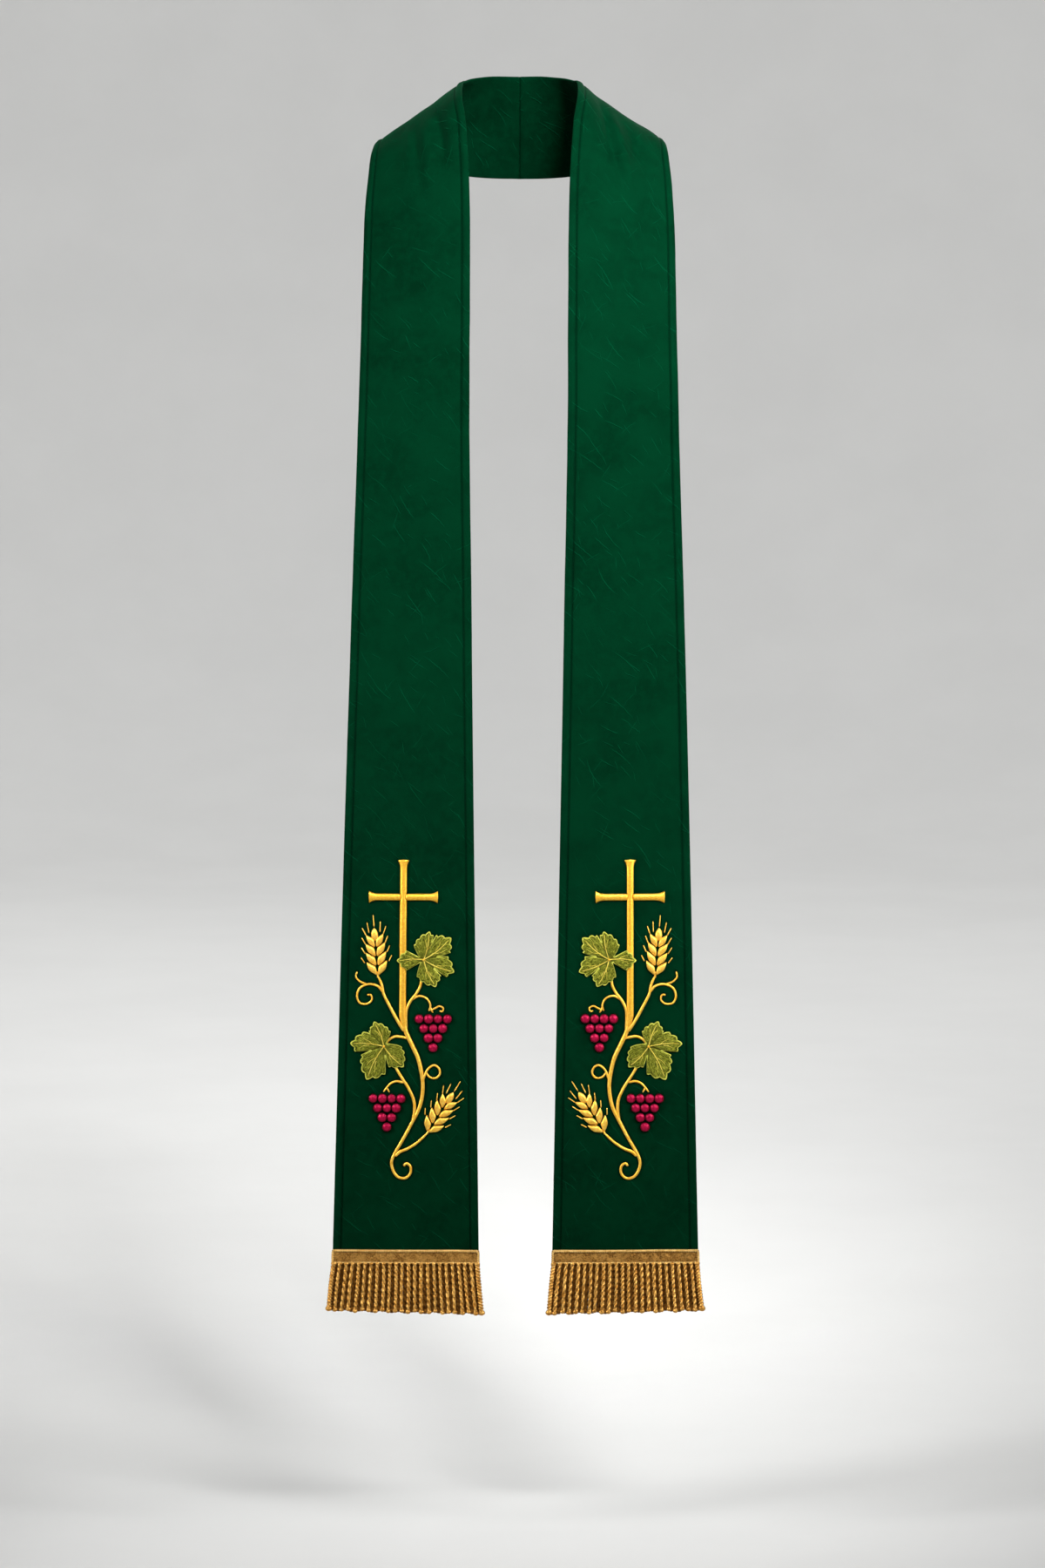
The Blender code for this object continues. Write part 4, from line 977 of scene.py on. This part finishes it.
def buildTopstitch(sideName, half):
    # single stitches lying in the grooves along both long edges
    bm = bmesh.new()
    count = int((shapeLength - seam["start"] - seam["end"]) / seam["pitch"])
    rng = random.Random(11 if half == left else 12)
    for fromOuter in (False, True):
        for k in range(count):
            start = seam["start"] + seam["pitch"] * k + rng.uniform(-seam["uneven"], seam["uneven"])
            own = seam["length"] * rng.uniform(0.94, 1.04)

            def place(ix, iy):
                t = iy / seam["cells"]
                angle = 2 * math.pi * ix / seam["sides"]
                size = seam["radius"] * np.sqrt(np.clip(1 - (2 * t - 1) ** 2, 0, 1)) ** 0.7
                along = start + own * t
                width = widthAt(along)
                off = panel["stitchIn"] + np.cos(angle) * size
                across = np.where(fromOuter, 1 - off / width, off / width)
                height = cloth["wall"] / 2 - panel["grooveDepth"] + seam["rise"] + np.sin(angle) * size
                return clothPoints(half, along, across, height)

            rolledGrid(bm, seam["sides"], seam["cells"], place, 1.0, seam["length"])
    return finishPiece(f"topstitch_{sideName}", bm, looks["seamThread"])


fringe = {
    "headingHeight": 0.0140, "headingDepth": 0.0016, "overhang": 0.0015, "lip": 0.0030, "gap": 0.0003,
    "strandLength": 0.0510, "rowGap": 0.0033, "root": 0.0018, "inFront": 24, "behind": 23,
    "flare": 0.0045, "uneven": 0.0012, "size": 0.0034,
    "plyRadius": 0.00138, "plyOffset": 0.00080, "twist": 0.0112, "sides": 10, "rows": 46,
    "headingCells": 300, "frontCells": 26, "ridge": 0.00016, "ridgePitch": 0.0018, "herringbone": 0.0058,
    "knot": (0.0023, 0.001725), "loop": (0.0027, 0.0022), "backWide": 1.58, "innerLonger": 0.0016,
    "endWide": 1.30, "endTwist": 0.55, "backLoose": 0.35, "sway": 0.0007, "bow": 0.0006,
    "edgeDip": 0.0006, "scallop": 0.0005,
}
headingFront = cloth["wall"] / 2 + fringe["gap"] + fringe["headingDepth"]
strandFront = headingFront - fringe["headingDepth"] / 2


def ropePlies(bm, half, centre, length, plyRadius, plyOffset, twist, phase):
    # two plies wound round a centre line; centre gives x, y and height along t from 0 to 1
    for ply in range(2):
        def place(ix, iy):
            t = iy / fringe["rows"]
            x, y, h = centre(t)
            wind = 2 * math.pi * (length * t / twist + ply / 2) + phase
            angle = 2 * math.pi * ix / fringe["sides"]
            size = plyRadius
            for fromEnd in (length * t, length - length * t):
                size = size * roundedOff(fromEnd, plyRadius)
            return hemPoints(half, x + np.cos(wind) * plyOffset + np.cos(angle) * size, y,
                             h + np.sin(wind) * plyOffset + np.sin(angle) * size)

        rolledGrid(bm, fringe["sides"], fringe["rows"], place, 1.0, length)


def buildStrands(sideName, half, front):
    bm = bmesh.new()
    margin = 0.0022 - fringe["overhang"]
    count = fringe["inFront"] if front else fringe["behind"]
    pitch = (hemWidth - 2 * margin) / (fringe["inFront"] - 1)
    rng = random.Random((21 if front else 31) + half)
    for k in range(count):
        index = k if front else k + 0.4
        x = -hemWidth / 2 + margin + pitch * (k if front else k + 0.5)
        lean = x / (hemWidth / 2) * fringe["flare"]
        atEnd = front and k in (0, count - 1)
        length = fringe["strandLength"] + fringe["uneven"] * 0.7 * math.sin(index * 2.4)
        length -= (0 if front else 0.0012) + fringe["innerLonger"] * x / (hemWidth / 2)
        drift = fringe["uneven"] * math.sin(index * 1.7)
        loose = 1.0 if front else fringe["backLoose"]
        sway = loose * rng.uniform(-fringe["sway"], fringe["sway"])
        bow = loose * rng.uniform(-fringe["bow"], fringe["bow"])
        height = strandFront if front else strandFront - fringe["rowGap"]
        plainWide = 1.0 if front else fringe["backWide"]
        wide = fringe["endWide"] if atEnd else rng.uniform(0.95, 1.07) * plainWide
        twist = fringe["twist"] * (fringe["endTwist"] if atEnd else rng.uniform(0.75, 1.45))
        wound = fringe["plyOffset"] * rng.uniform(0.75, 1.1)

        def centre(t):
            y = -fringe["lip"] + fringe["root"] - length * t
            return x + lean * t + sway * t + bow * np.sin(math.pi * t), y, height + drift * t

        phase = rng.uniform(0, 6.28)
        ropePlies(bm, half, centre, length, fringe["plyRadius"] * wide, wound * wide, twist, phase)
        # a knot under the heading, and the turned end of the strand
        foot = -fringe["lip"] + fringe["root"] - length
        knobs = [(x + lean + sway, foot + 0.0012, height + drift, *fringe["loop"])]
        if front:
            knobs.append((x, -fringe["lip"] + 0.0002, height + 0.0003, *fringe["knot"]))
        for kx, ky, kh, across, tall in knobs:
            def knobPlace(ix, iy):
                angle, tilt = 2 * math.pi * ix / 10, math.pi * iy / 7
                size = across * wide * np.sin(tilt)
                return hemPoints(half, kx + np.cos(angle) * size, ky + np.cos(tilt) * tall * wide,
                                 kh + np.sin(angle) * size * 0.85)

            rolledGrid(bm, 10, 7, knobPlace, 1.0, 0.005)
    # the strands behind take the darker bullion colours as painted shade
    name = f"{'front' if front else 'back'}Strands_{sideName}"
    return finishPiece(name, bm, looks["bullion" if front else "bullionBehind"])


def buildHeading(sideName, half):
    bm = bmesh.new()
    top, low = fringe["headingHeight"] - fringe["lip"], -fringe["lip"]
    back = headingFront - fringe["headingDepth"] / 2 - fringe["rowGap"] - fringe["size"] / 2
    near = cloth["wall"] / 2 + 0.0001
    section = [(top - 0.0003, near)]
    cells = fringe["frontCells"]
    section += [(top - (top - low) * k / cells, headingFront) for k in range(cells + 1)]
    section += [(low - 0.0002, (headingFront + back) / 2), (low, back), (-0.0003, back), (-0.0003, near)]
    ys = np.array([p[0] for p in section] + [section[0][0]])
    hs = np.array([p[1] for p in section] + [section[0][1]])
    wide = hemWidth / 2 + fringe["overhang"]
    pitch = (hemWidth + 0.001) / (fringe["inFront"] - 1)

    def place(ix, iy):
        x = -wide + 2 * wide * iy / fringe["headingCells"]
        y, h = ys[ix].copy(), hs[ix].copy()
        onFront = (ix >= 1) & (ix <= cells + 1)
        # herringbone: the slant of the ridges turns from column to column
        column = np.abs(((x / fringe["herringbone"]) % 2) - 1) * fringe["herringbone"]
        ridge = np.sin(2 * math.pi * (column + y * 1.1) / fringe["ridgePitch"])
        inside = np.clip((top - y) / 0.001, 0, 1) * np.clip((y - low) / 0.001, 0, 1)
        h = h + np.where(onFront, fringe["ridge"] * ridge * inside - fringe["edgeDip"] * (1 - inside), 0)
        scallop = fringe["scallop"] * np.abs(np.sin(math.pi * (x + wide) / pitch))
        y = y - np.where(onFront & (y < low + 0.002), scallop, 0)
        return hemPoints(half, x, y, h)

    cell = (top - low) / cells
    rolledGrid(bm, len(ys) - 1, fringe["headingCells"], place, cell * (len(ys) - 1), 2 * wide)
    piece = finishPiece(f"heading_{sideName}", bm, looks["headingTape"], 0.00001)
    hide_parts(f"fringe_{sideName}")
    return piece


# Radius and twist length of the cords round the heading.
headingCord = {
    "top": (0.00092, 0.0046), "low": (0.00042, 0.0026), "end": (0.00085, 0.0040), "wound": 0.8, "sides": 7,
}


def buildHeadingCords(sideName, half):
    # twisted cords along the heading's top and bottom edges and down its two ends
    bm = bmesh.new()
    wide = hemWidth / 2 + fringe["overhang"] - 0.0006
    top, low = fringe["headingHeight"] - fringe["lip"], -fringe["lip"]
    runs = (
        ((-wide, top - 0.0008), (wide, top - 0.0008), headingFront - 0.0001, *headingCord["top"]),
        ((-wide, low + 0.0014), (wide, low + 0.0014), headingFront - 0.0001, *headingCord["low"]),
        ((-wide + 0.0003, top - 0.0010), (-wide + 0.0003, low), headingFront - 0.0004, *headingCord["end"]),
        ((wide - 0.0003, top - 0.0010), (wide - 0.0003, low), headingFront - 0.0004, *headingCord["end"]),
    )
    for (x0, y0), (x1, y1), height, radius, twist in runs:
        length = math.hypot(x1 - x0, y1 - y0)
        upright = x0 == x1
        count = round(length / (twist / 9))
        for ply in range(2):
            def place(ix, iy):
                t = iy / count
                wind = 2 * math.pi * (length * t / twist + ply / 2)
                angle = 2 * math.pi * ix / headingCord["sides"]
                size = radius * np.sqrt(np.clip(np.minimum(t, 1 - t) * length / radius, 0, 1))
                off = np.cos(wind) * radius * headingCord["wound"] + np.cos(angle) * size
                x = x0 + (x1 - x0) * t + (off if upright else 0)
                y = y0 + (y1 - y0) * t + (0 if upright else off)
                h = height + np.sin(wind) * radius * headingCord["wound"] + np.sin(angle) * size
                return hemPoints(half, x, y, h)

            rolledGrid(bm, headingCord["sides"], count, place, 1.0, length)
    return finishPiece(f"headingCords_{sideName}", bm, looks["headingCord"])


def satinCord(bm, way, length, halfWidths, height, around, endRound=0.0009, lift=0.0):
    # a half-round stitched cord along a way on the plan, rounded at both ends
    count = len(way) - 1
    run = unit(np.gradient(way, axis=0))
    side = np.stack([-run[:, 1], run[:, 0]], axis=1)
    s = np.linspace(0, length, count + 1)
    blunt = roundedOff(np.minimum(s, length - s), endRound)
    lift = np.zeros(count + 1) + lift

    def place(ix, iy):
        angle = 2 * math.pi * ix / around
        wide, up = np.cos(angle), np.sin(angle)
        spot = way[iy] + side[iy] * (wide * halfWidths[iy] * blunt[iy])[:, None]
        z = np.where(up > 0, np.abs(up) ** 0.92 * height[iy], up * 0.00015) * blunt[iy] + lift[iy]
        return np.column_stack([spot, z])

    rolledGrid(bm, around, count, place, 1.0, length)


def buildCross(sideName, half):
    bm = bmesh.new()
    # the stem, narrowed where it passes over the bar and drawn out to the vine at its foot
    y = np.linspace(cross["foot"], cross["top"], cross["stemCells"])
    shift, share = crossStem(y)
    way = np.column_stack([shift, y])
    wide = crossHalfWidth(cross["top"] - y) * share
    wide = wide * (1 - cross["pinch"] * np.exp(-(((y - cross["bar"]) / cross["pinchSpread"]) ** 2)))
    crossing = np.exp(-(((y - cross["bar"]) / cross["crossingSpread"]) ** 2))
    height = cross["height"] * (1 + cross["crossing"] * crossing) * share**0.5
    satinCord(bm, way, cross["top"] - cross["foot"], wide, height, cross["around"], cross["endRound"])
    # the two arms, rounded where they dive under the stem
    for side in (-1, 1):
        x = np.linspace(cross["armStart"], cross["reach"], cross["armCells"])
        way = np.column_stack([side * x, cross["bar"] + 0 * x])
        inward = np.clip((x - cross["armStart"]) / cross["armRound"], 0, 1)
        roundIn = np.sqrt(1 - (1 - inward) ** 2)
        wide = crossHalfWidth(cross["reach"] - x) * (cross["armWide"] + (1 - cross["armWide"]) * roundIn)
        height = cross["height"] * (cross["armHigh"] + (1 - cross["armHigh"]) * roundIn)
        length = cross["reach"] - cross["armStart"]
        satinCord(bm, way, length, wide, height, cross["around"], cross["endRound"])
    layOnPlan(bm, half)
    return finishPiece(f"crossStitch_{sideName}", bm, looks["gold"])


# Which ends of a cord run in under another one: 0 is the first point, 1 the last.
joinedEnds = {
    "mainVine": (0,), "wheatStem": (0, 1), "leafStalk": (0, 1), "grapeStem": (0, 1), "grapeFork": (0, 1),
    "grapeTendril": (0,), "tendril": (0,), "tendrilTip": (0,), "lowerLeafStalk": (0, 1), "branch": (0, 1),
    "lowerGrapeStem": (0, 1), "lowerGrapeFork": (0, 1), "loop": (0,), "lowerWheatStem": (0, 1),
}
vine = {
    "step": 0.0009, "rise": 1.05, "lowest": 0.0012, "highest": 0.0025,
    "joinLength": 0.0050, "joinShare": 0.45,
}


def buildVine(sideName, half):
    bm = bmesh.new()
    for k, row in enumerate(namedRows(strokeColumns, strokesMm)):
        way, length = smoothWay(row["points"], vine["step"])
        s = np.linspace(0, length, len(way))
        wide = np.linspace(row["firstWidth"], row["lastWidth"], len(way)) * mm / 2
        height = np.clip(wide * vine["rise"], vine["lowest"], vine["highest"])
        for end in joinedEnds[row["name"]]:
            toEnd = np.clip((s if end == 0 else length - s) / vine["joinLength"], 0, 1)
            share = vine["joinShare"] + (1 - vine["joinShare"]) * toEnd**0.8
            height, wide = height * share, wide * (0.5 + 0.5 * share)
        satinCord(bm, way, length, wide, height, 14, 0.0011, 0.00002 * k)
    layOnPlan(bm, half)
    return finishPiece(f"vineStitch_{sideName}", bm, looks["vine"])


def stemLift(x):
    # the upper leaf rides over the cross's stem
    return leaf["over"] * np.exp(-((np.abs(x) / leaf["overWidth"]) ** 4))


def leafRim(name, count):
    # the rim as evenly spread points with edges that curve out a little between the teeth
    polar = np.array(leafOutline(name))
    angle = np.radians(polar[:, 0] + 90)
    points = polar[:, 1:] * np.stack([np.cos(angle), np.sin(angle)], axis=1)
    ahead = np.roll(points, -1, axis=0)
    gaps = np.linalg.norm(ahead - points, axis=1)
    ends = np.concatenate([[0], np.cumsum(gaps)])
    at = np.linspace(0, ends[-1], count, endpoint=False)
    k = np.clip(np.searchsorted(ends, at, side="right") - 1, 0, len(points) - 1)
    t = (at - ends[k]) / gaps[k]
    rim = points[k] * (1 - t)[:, None] + ahead[k] * t[:, None]
    out = unit(points[k] + ahead[k])
    return rim + out * (leaf["bulge"] * gaps[k] * np.sin(math.pi * t))[:, None], ends[-1]


def leafHeight(name, x, y):
    # crowned between the notches, with a dark groove from every notch to the hub
    reach = np.hypot(x, y)
    degrees = (np.degrees(np.arctan2(y, x)) - 90) % 360
    height = np.full(len(x), leaf["height"])
    lines = (("notchDegrees", leaf["grooveDepth"], leaf["grooveWidth"], 0.003),
             ("degrees", leaf["veinDepth"], leaf["veinWidth"], 0.004))
    for lobe in leafLobes(name):
        for at, depth, width, fade in lines:
            off = np.abs((degrees - lobe[at] + 180) % 360 - 180)
            beside = np.radians(np.minimum(off, 90)) * reach
            height = height - depth * np.exp(-((beside / width) ** 2)) * np.clip(reach / fade, 0, 1)
    return height


def buildLeaf(sideName, half, name):
    around, outward = leaf["aroundCells"], leaf["outCells"]
    rim, _ = leafRim(name, around)
    isUpper = name == "upperLeaf"
    bm = bmesh.new()

    def place(ix, iy):
        spot = rim[ix % around]
        share = np.clip(iy / outward, 0, 1)
        under = iy == outward + 2
        share = np.where(under, 0, share)
        x, y = spot[:, 0] * share, spot[:, 1] * share
        full = leafHeight(name, x, y)
        toRim = (1 - share) * np.hypot(spot[:, 0], spot[:, 1])
        z = leaf["rimHeight"] + (full - leaf["rimHeight"]) * roundedOff(toRim, leaf["rimRound"])
        px, py = turnedInto(name, x, y)
        if isUpper:
            z = z + stemLift(px)
        z = np.where(iy > outward, -0.00005, z)
        return np.column_stack([px, py, z])

    rolledGrid(bm, around, outward + 2, place, 1.0, 0.030)
    layOnPlan(bm, half)
    return finishPiece(f"{name}_{sideName}", bm, looks["leaf"])


def buildLeafCords(sideName, half, name):
    # the bright edge of each leaf, and gold veins from its hub
    isUpper = name == "upperLeaf"
    bm = bmesh.new()
    count = leaf["cordCells"]
    rim, rimLength = leafRim(name, count)
    run = unit(np.roll(rim, -1, axis=0) - np.roll(rim, 1, axis=0))
    inward = np.stack([-run[:, 1], run[:, 0]], axis=1)
    line = rim + inward * leaf["cordIn"]

    def place(ix, iy):
        k = iy % count
        angle = 2 * math.pi * ix / 6
        spot = line[k] + inward[k] * (np.cos(angle) * leaf["cordWide"])[:, None]
        px, py = turnedInto(name, spot[:, 0], spot[:, 1])
        z = leaf["rimHeight"] + leaf["cordLift"] + np.sin(angle) * leaf["cordHigh"]
        if isUpper:
            z = z + stemLift(px)
        return np.column_stack([px, py, z])

    rolledGrid(bm, 6, count, place, 1.0, rimLength)
    edgeCount = len(bm.faces)
    for lobe in leafLobes(name):
        tip = math.radians(lobe["degrees"] + 90)
        reach = lobe["reach"] * mm
        ways = [((0, 0), tip, reach * 0.93, leaf["mainVein"], 0.05)]
        for lean, start, share in ((24, 0.30, 0.56), (-24, 0.42, 0.46)):
            begin = (math.cos(tip) * reach * start, math.sin(tip) * reach * start)
            ways.append((begin, tip + math.radians(lean), reach * share * 0.80, leaf["sideVein"], 0.10))
        for begin, direction, length, radius, bend in ways:
            t = np.linspace(0, 1, 18)
            c, s = math.cos(direction) * length, math.sin(direction) * length
            curve = bend * np.sin(math.pi * t)
            x, y = begin[0] + c * t - s * curve, begin[1] + s * t + c * curve
            px, py = turnedInto(name, x, y)
            z = leafHeight(name, x, y) - 0.00015
            if isUpper:
                z = z + stemLift(px)
            way = np.column_stack([px, py])
            wide = radius * (1 - 0.55 * t)
            satinCord(bm, way, length, wide, wide * 0.9, 6, 0.0005, z)
    # the hub
    hubStart = len(bm.faces)
    x, y = np.linspace(-0.5, 0.5, 7) * leaf["hub"], np.zeros(7)
    px, py = turnedInto(name, x, y)
    lift = leafHeight(name, x, y) + (stemLift(px) if isUpper else 0)
    way = np.column_stack([px, py])
    satinCord(bm, way, leaf["hub"], np.full(7, 0.0014), np.full(7, 0.0010), 8, 0.0013, lift)
    bm.faces.ensure_lookup_table()
    for k in range(edgeCount, len(bm.faces)):
        bm.faces[k].material_index = 1 if k < hubStart else 2
    layOnPlan(bm, half)
    return finishPiece(f"{name}Edge_{sideName}", bm, [looks[k] for k in ("leafEdge", "vein", "gold")])


def buildGrapes(sideName, half, name):
    # each grape is a padded dome, wound with thread from rim to crown
    bm = bmesh.new()
    rng = random.Random(41 + half)
    for x, y in grapeCentres(name):
        own = rng.uniform(0.96, 1.04)
        spinBy = rng.uniform(0, 6.28)

        def place(ix, iy):
            angle = 2 * math.pi * ix / grape["around"] + spinBy
            tilt = np.clip(iy / grape["rings"], 0, 1) * math.pi / 2
            closed = iy == grape["rings"] + 1
            r = np.where(closed, 0, grape["radius"] * own * np.sin(tilt) ** 0.92)
            z = grape["height"] * own * np.cos(tilt) ** 0.85
            z = z - grape["dimple"] * np.exp(-((r / grape["dimpleWidth"]) ** 2))
            z = np.where(iy >= grape["rings"], np.where(closed, -0.00005, 0.0), z)
            return np.column_stack([x + np.cos(angle) * r, y + np.sin(angle) * r, z])

        rolledGrid(bm, grape["around"], grape["rings"] + 1, place, 1.0, 0.0090)
    layOnPlan(bm, half)
    return finishPiece(f"{name}_{sideName}", bm, looks["grape"])


def buildWheat(sideName, half, name):
    bm = bmesh.new()
    # a short bare foot under the lowest grains
    low, high = wheat["foot"]
    y = np.linspace(low, high, 10)
    px, py = turnedInto(name, 0 * y, y)
    satinCord(bm, np.column_stack([px, py]), high - low, np.full(10, 0.0011), np.full(10, 0.0010), 8)
    t = (1 - np.cos(math.pi * np.linspace(0, 1, wheat["cells"] + 1))) / 2
    grains = [(*grainRow(k, side, t), False) for k in range(wheat["pairs"]) for side in (-1, 1)]
    grains.append((0 * t, *topGrainRow(t), True))
    for x, y, halfHigh, share, upright in grains:
        def place(ix, iy):
            angle = 2 * math.pi * ix / wheat["around"]
            across, up = np.cos(angle), np.sin(angle)
            off = across * halfHigh[iy]
            px, py = turnedInto(name, x[iy] + (off if upright else 0), y[iy] + (0 if upright else off))
            beside = np.exp(-((across / wheat["creaseWidth"]) ** 2))
            crease = 1 - wheat["crease"] * beside * np.clip(share[iy] * 2 - 1, 0, 1)
            z = np.where(up > 0, np.abs(up) ** 0.85 * wheat["height"] * share[iy] * crease, up * 0.0001)
            return np.column_stack([px, py, z])

        rolledGrid(bm, wheat["around"], wheat["cells"], place, 1.0, 0.013)
    for x, y, lean, length in wheatAwns():
        t = np.linspace(0, 1, 10)
        px, py = turnedInto(name, x + math.sin(lean) * length * t, y + math.cos(lean) * length * t)
        wide = wheat["awnWidth"] / 2 * (1 - 0.25 * t)
        satinCord(bm, np.column_stack([px, py]), length, wide, wide * 1.7, 8, 0.0005)
    layOnPlan(bm, half)
    return finishPiece(f"{name}_{sideName}", bm, looks["wheat"])


for sideName, half in sides:
    panelPiece = buildPanel(sideName, half)
    print("cloth", sideName, len(panelPiece.data.polygons), "faces")
    stitches = buildTopstitch(sideName, half)
    heading = buildHeading(sideName, half)
    headingCords = buildHeadingCords(sideName, half)
    frontStrands = buildStrands(sideName, half, True)
    backStrands = buildStrands(sideName, half, False)
    print("fringe", sideName)
    crossPiece = buildCross(sideName, half)
    vinePiece = buildVine(sideName, half)
    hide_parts(f"cross_{sideName}")
    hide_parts(f"vine_{sideName}")
    onCloth = [stitches, heading, headingCords, frontStrands, backStrands, crossPiece, vinePiece]
    for level in ("upper", "lower"):
        leafPiece = buildLeaf(sideName, half, f"{level}Leaf")
        edgePiece = buildLeafCords(sideName, half, f"{level}Leaf")
        grapePiece = buildGrapes(sideName, half, f"{level}Grapes")
        wheatPiece = buildWheat(sideName, half, f"{level}Wheat")
        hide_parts(f"{level}_leaf_{sideName}")
        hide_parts(f"{level}_grapes_{sideName}")
        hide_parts(f"{level}_wheat_{sideName}")
        onCloth += [leafPiece, edgePiece, grapePiece, wheatPiece]
    print("embroidery", sideName)

# Pale floor, air and camera; the target is the middle of the picture and pixel its size in metres there.
studio = {
    "floorZ": -1.470, "floorTone": (0.66, 0.66, 0.65), "floorRadius": 8.0, "sweep": 2.6, "wallTop": 3.0,
    "floorSides": 64, "sweepCells": 16, "worldTone": (0.90, 0.92, 0.95), "worldStrength": 0.09,
    "target": (0.00264, -0.1, -0.70501642), "distance": 5.0, "elevation": 6.0, "pixel": 0.00088,
}

# Soft lights: place and aim in metres, width and height, power, and spread in degrees.
lights = (
    ("keySoftbox", (0.95, -1.45, 0.75), (0.47, -0.1, -0.22), (0.8, 0.8), 6.9, 50),
    ("fillSoftbox", (-0.6, -2.9, 0.0), (0, -0.1, -0.7), (1.2, 1.2), 2.0, 180),
    ("backWallLight", (0, 3.3, 3.1), (0, 5.6, -1.47), (7.0, 1.5), 250.0, 180),
    ("frontWallLight", (0, -3.9, 3.1), (0, -6.6, -1.2), (6.0, 1.5), 90.0, 180),
    ("rearSoftbox", (0.9, 3.2, 1.3), (0, 0, -0.5), (1.2, 1.2), 14.0, 180),
    ("topSpot", (0.55, -1.90, 1.25), (0.07, -0.08, -0.16), (0.45, 0.45), 5.4, 32),
    ("leftStrip", (-0.98, -0.56, -0.46), (-0.04, -0.14, -0.98), (0.26, 0.80), 4.2, 90),
    ("rightStrip", (0.70, -0.46, -0.64), (0.12, -0.15, -1.02), (0.18, 0.40), 1.8, 100),
)


def buildFloor():
    # a round floor that sweeps up into a wall on every side
    bm = bmesh.new()
    flat = studio["floorRadius"] - studio["sweep"]
    profile = [(0.0, 0.0), (flat * 0.5, 0.0), (flat, 0.0)]
    for k in range(1, studio["sweepCells"] + 1):
        angle = math.pi / 2 * k / studio["sweepCells"]
        profile.append((flat + math.sin(angle) * studio["sweep"], (1 - math.cos(angle)) * studio["sweep"]))
    profile.append((studio["floorRadius"], studio["wallTop"] - studio["floorZ"]))
    rows = np.array(profile)

    def place(ix, iy):
        angle = 2 * math.pi * ix / studio["floorSides"]
        return np.column_stack([
            np.cos(angle) * rows[iy, 0], np.sin(angle) * rows[iy, 0], studio["floorZ"] + rows[iy, 1]])

    rolledGrid(bm, studio["floorSides"], len(profile) - 1, place)
    bmesh.ops.remove_doubles(bm, verts=bm.verts, dist=0.0001)
    mesh = bpy.data.meshes.new("floor")
    bmesh.ops.recalc_face_normals(bm, faces=bm.faces)
    bm.to_mesh(mesh)
    bm.free()
    mesh.shade_smooth()
    look, tree, shader = newLook("paleFloor", 0.85, 0.10)
    where = addNode(tree, "ShaderNodeTexCoord").outputs["Object"]
    speckle = noiseAt(tree, where, 3.0, 5.0, 0.6)
    tone = studio["floorTone"]
    shade = mixColours(tree, stepRange(tree, speckle, 0.3, 0.7), tuple(c * 0.97 for c in tone), tone)
    tree.links.new(shade, shader.inputs["Base Color"])
    mesh.materials.append(look)
    floor = bpy.data.objects.new("floor", mesh)
    bpy.context.scene.collection.objects.link(floor)


def addLight(name, place, aim, size, power, spread):
    data = bpy.data.lights.new(name, "AREA")
    data.shape = "RECTANGLE"
    data.size, data.size_y = size
    data.energy = power
    data.spread = math.radians(spread)
    light = bpy.data.objects.new(name, data)
    light.location = place
    light.rotation_euler = (Vector(aim) - Vector(place)).to_track_quat("-Z", "Y").to_euler()
    bpy.context.scene.collection.objects.link(light)


buildFloor()
for row in lights:
    addLight(*row)
world = bpy.data.worlds.new("studioAir")
world.use_nodes = True
world.node_tree.nodes["Background"].inputs[0].default_value = (*studio["worldTone"], 1)
world.node_tree.nodes["Background"].inputs[1].default_value = studio["worldStrength"]
bpy.context.scene.world = world
bpy.context.scene.view_settings.view_transform = "Standard"


def addCamera():
    # the long side of the picture is 1800 pixels
    tilt = math.radians(studio["elevation"])
    back = Vector((0, -math.cos(tilt), math.sin(tilt)))
    data = bpy.data.cameras.new("frontView")
    data.sensor_width = 36
    data.lens = studio["distance"] / studio["pixel"] / 1800 * data.sensor_width
    data.clip_end = 50
    camera = bpy.data.objects.new("frontView", data)
    camera.location = Vector(studio["target"]) + back * studio["distance"]
    camera.rotation_euler = (math.pi / 2 - tilt, 0, 0)
    bpy.context.scene.collection.objects.link(camera)
    bpy.context.scene.camera = camera


addCamera()
print("studio ready")
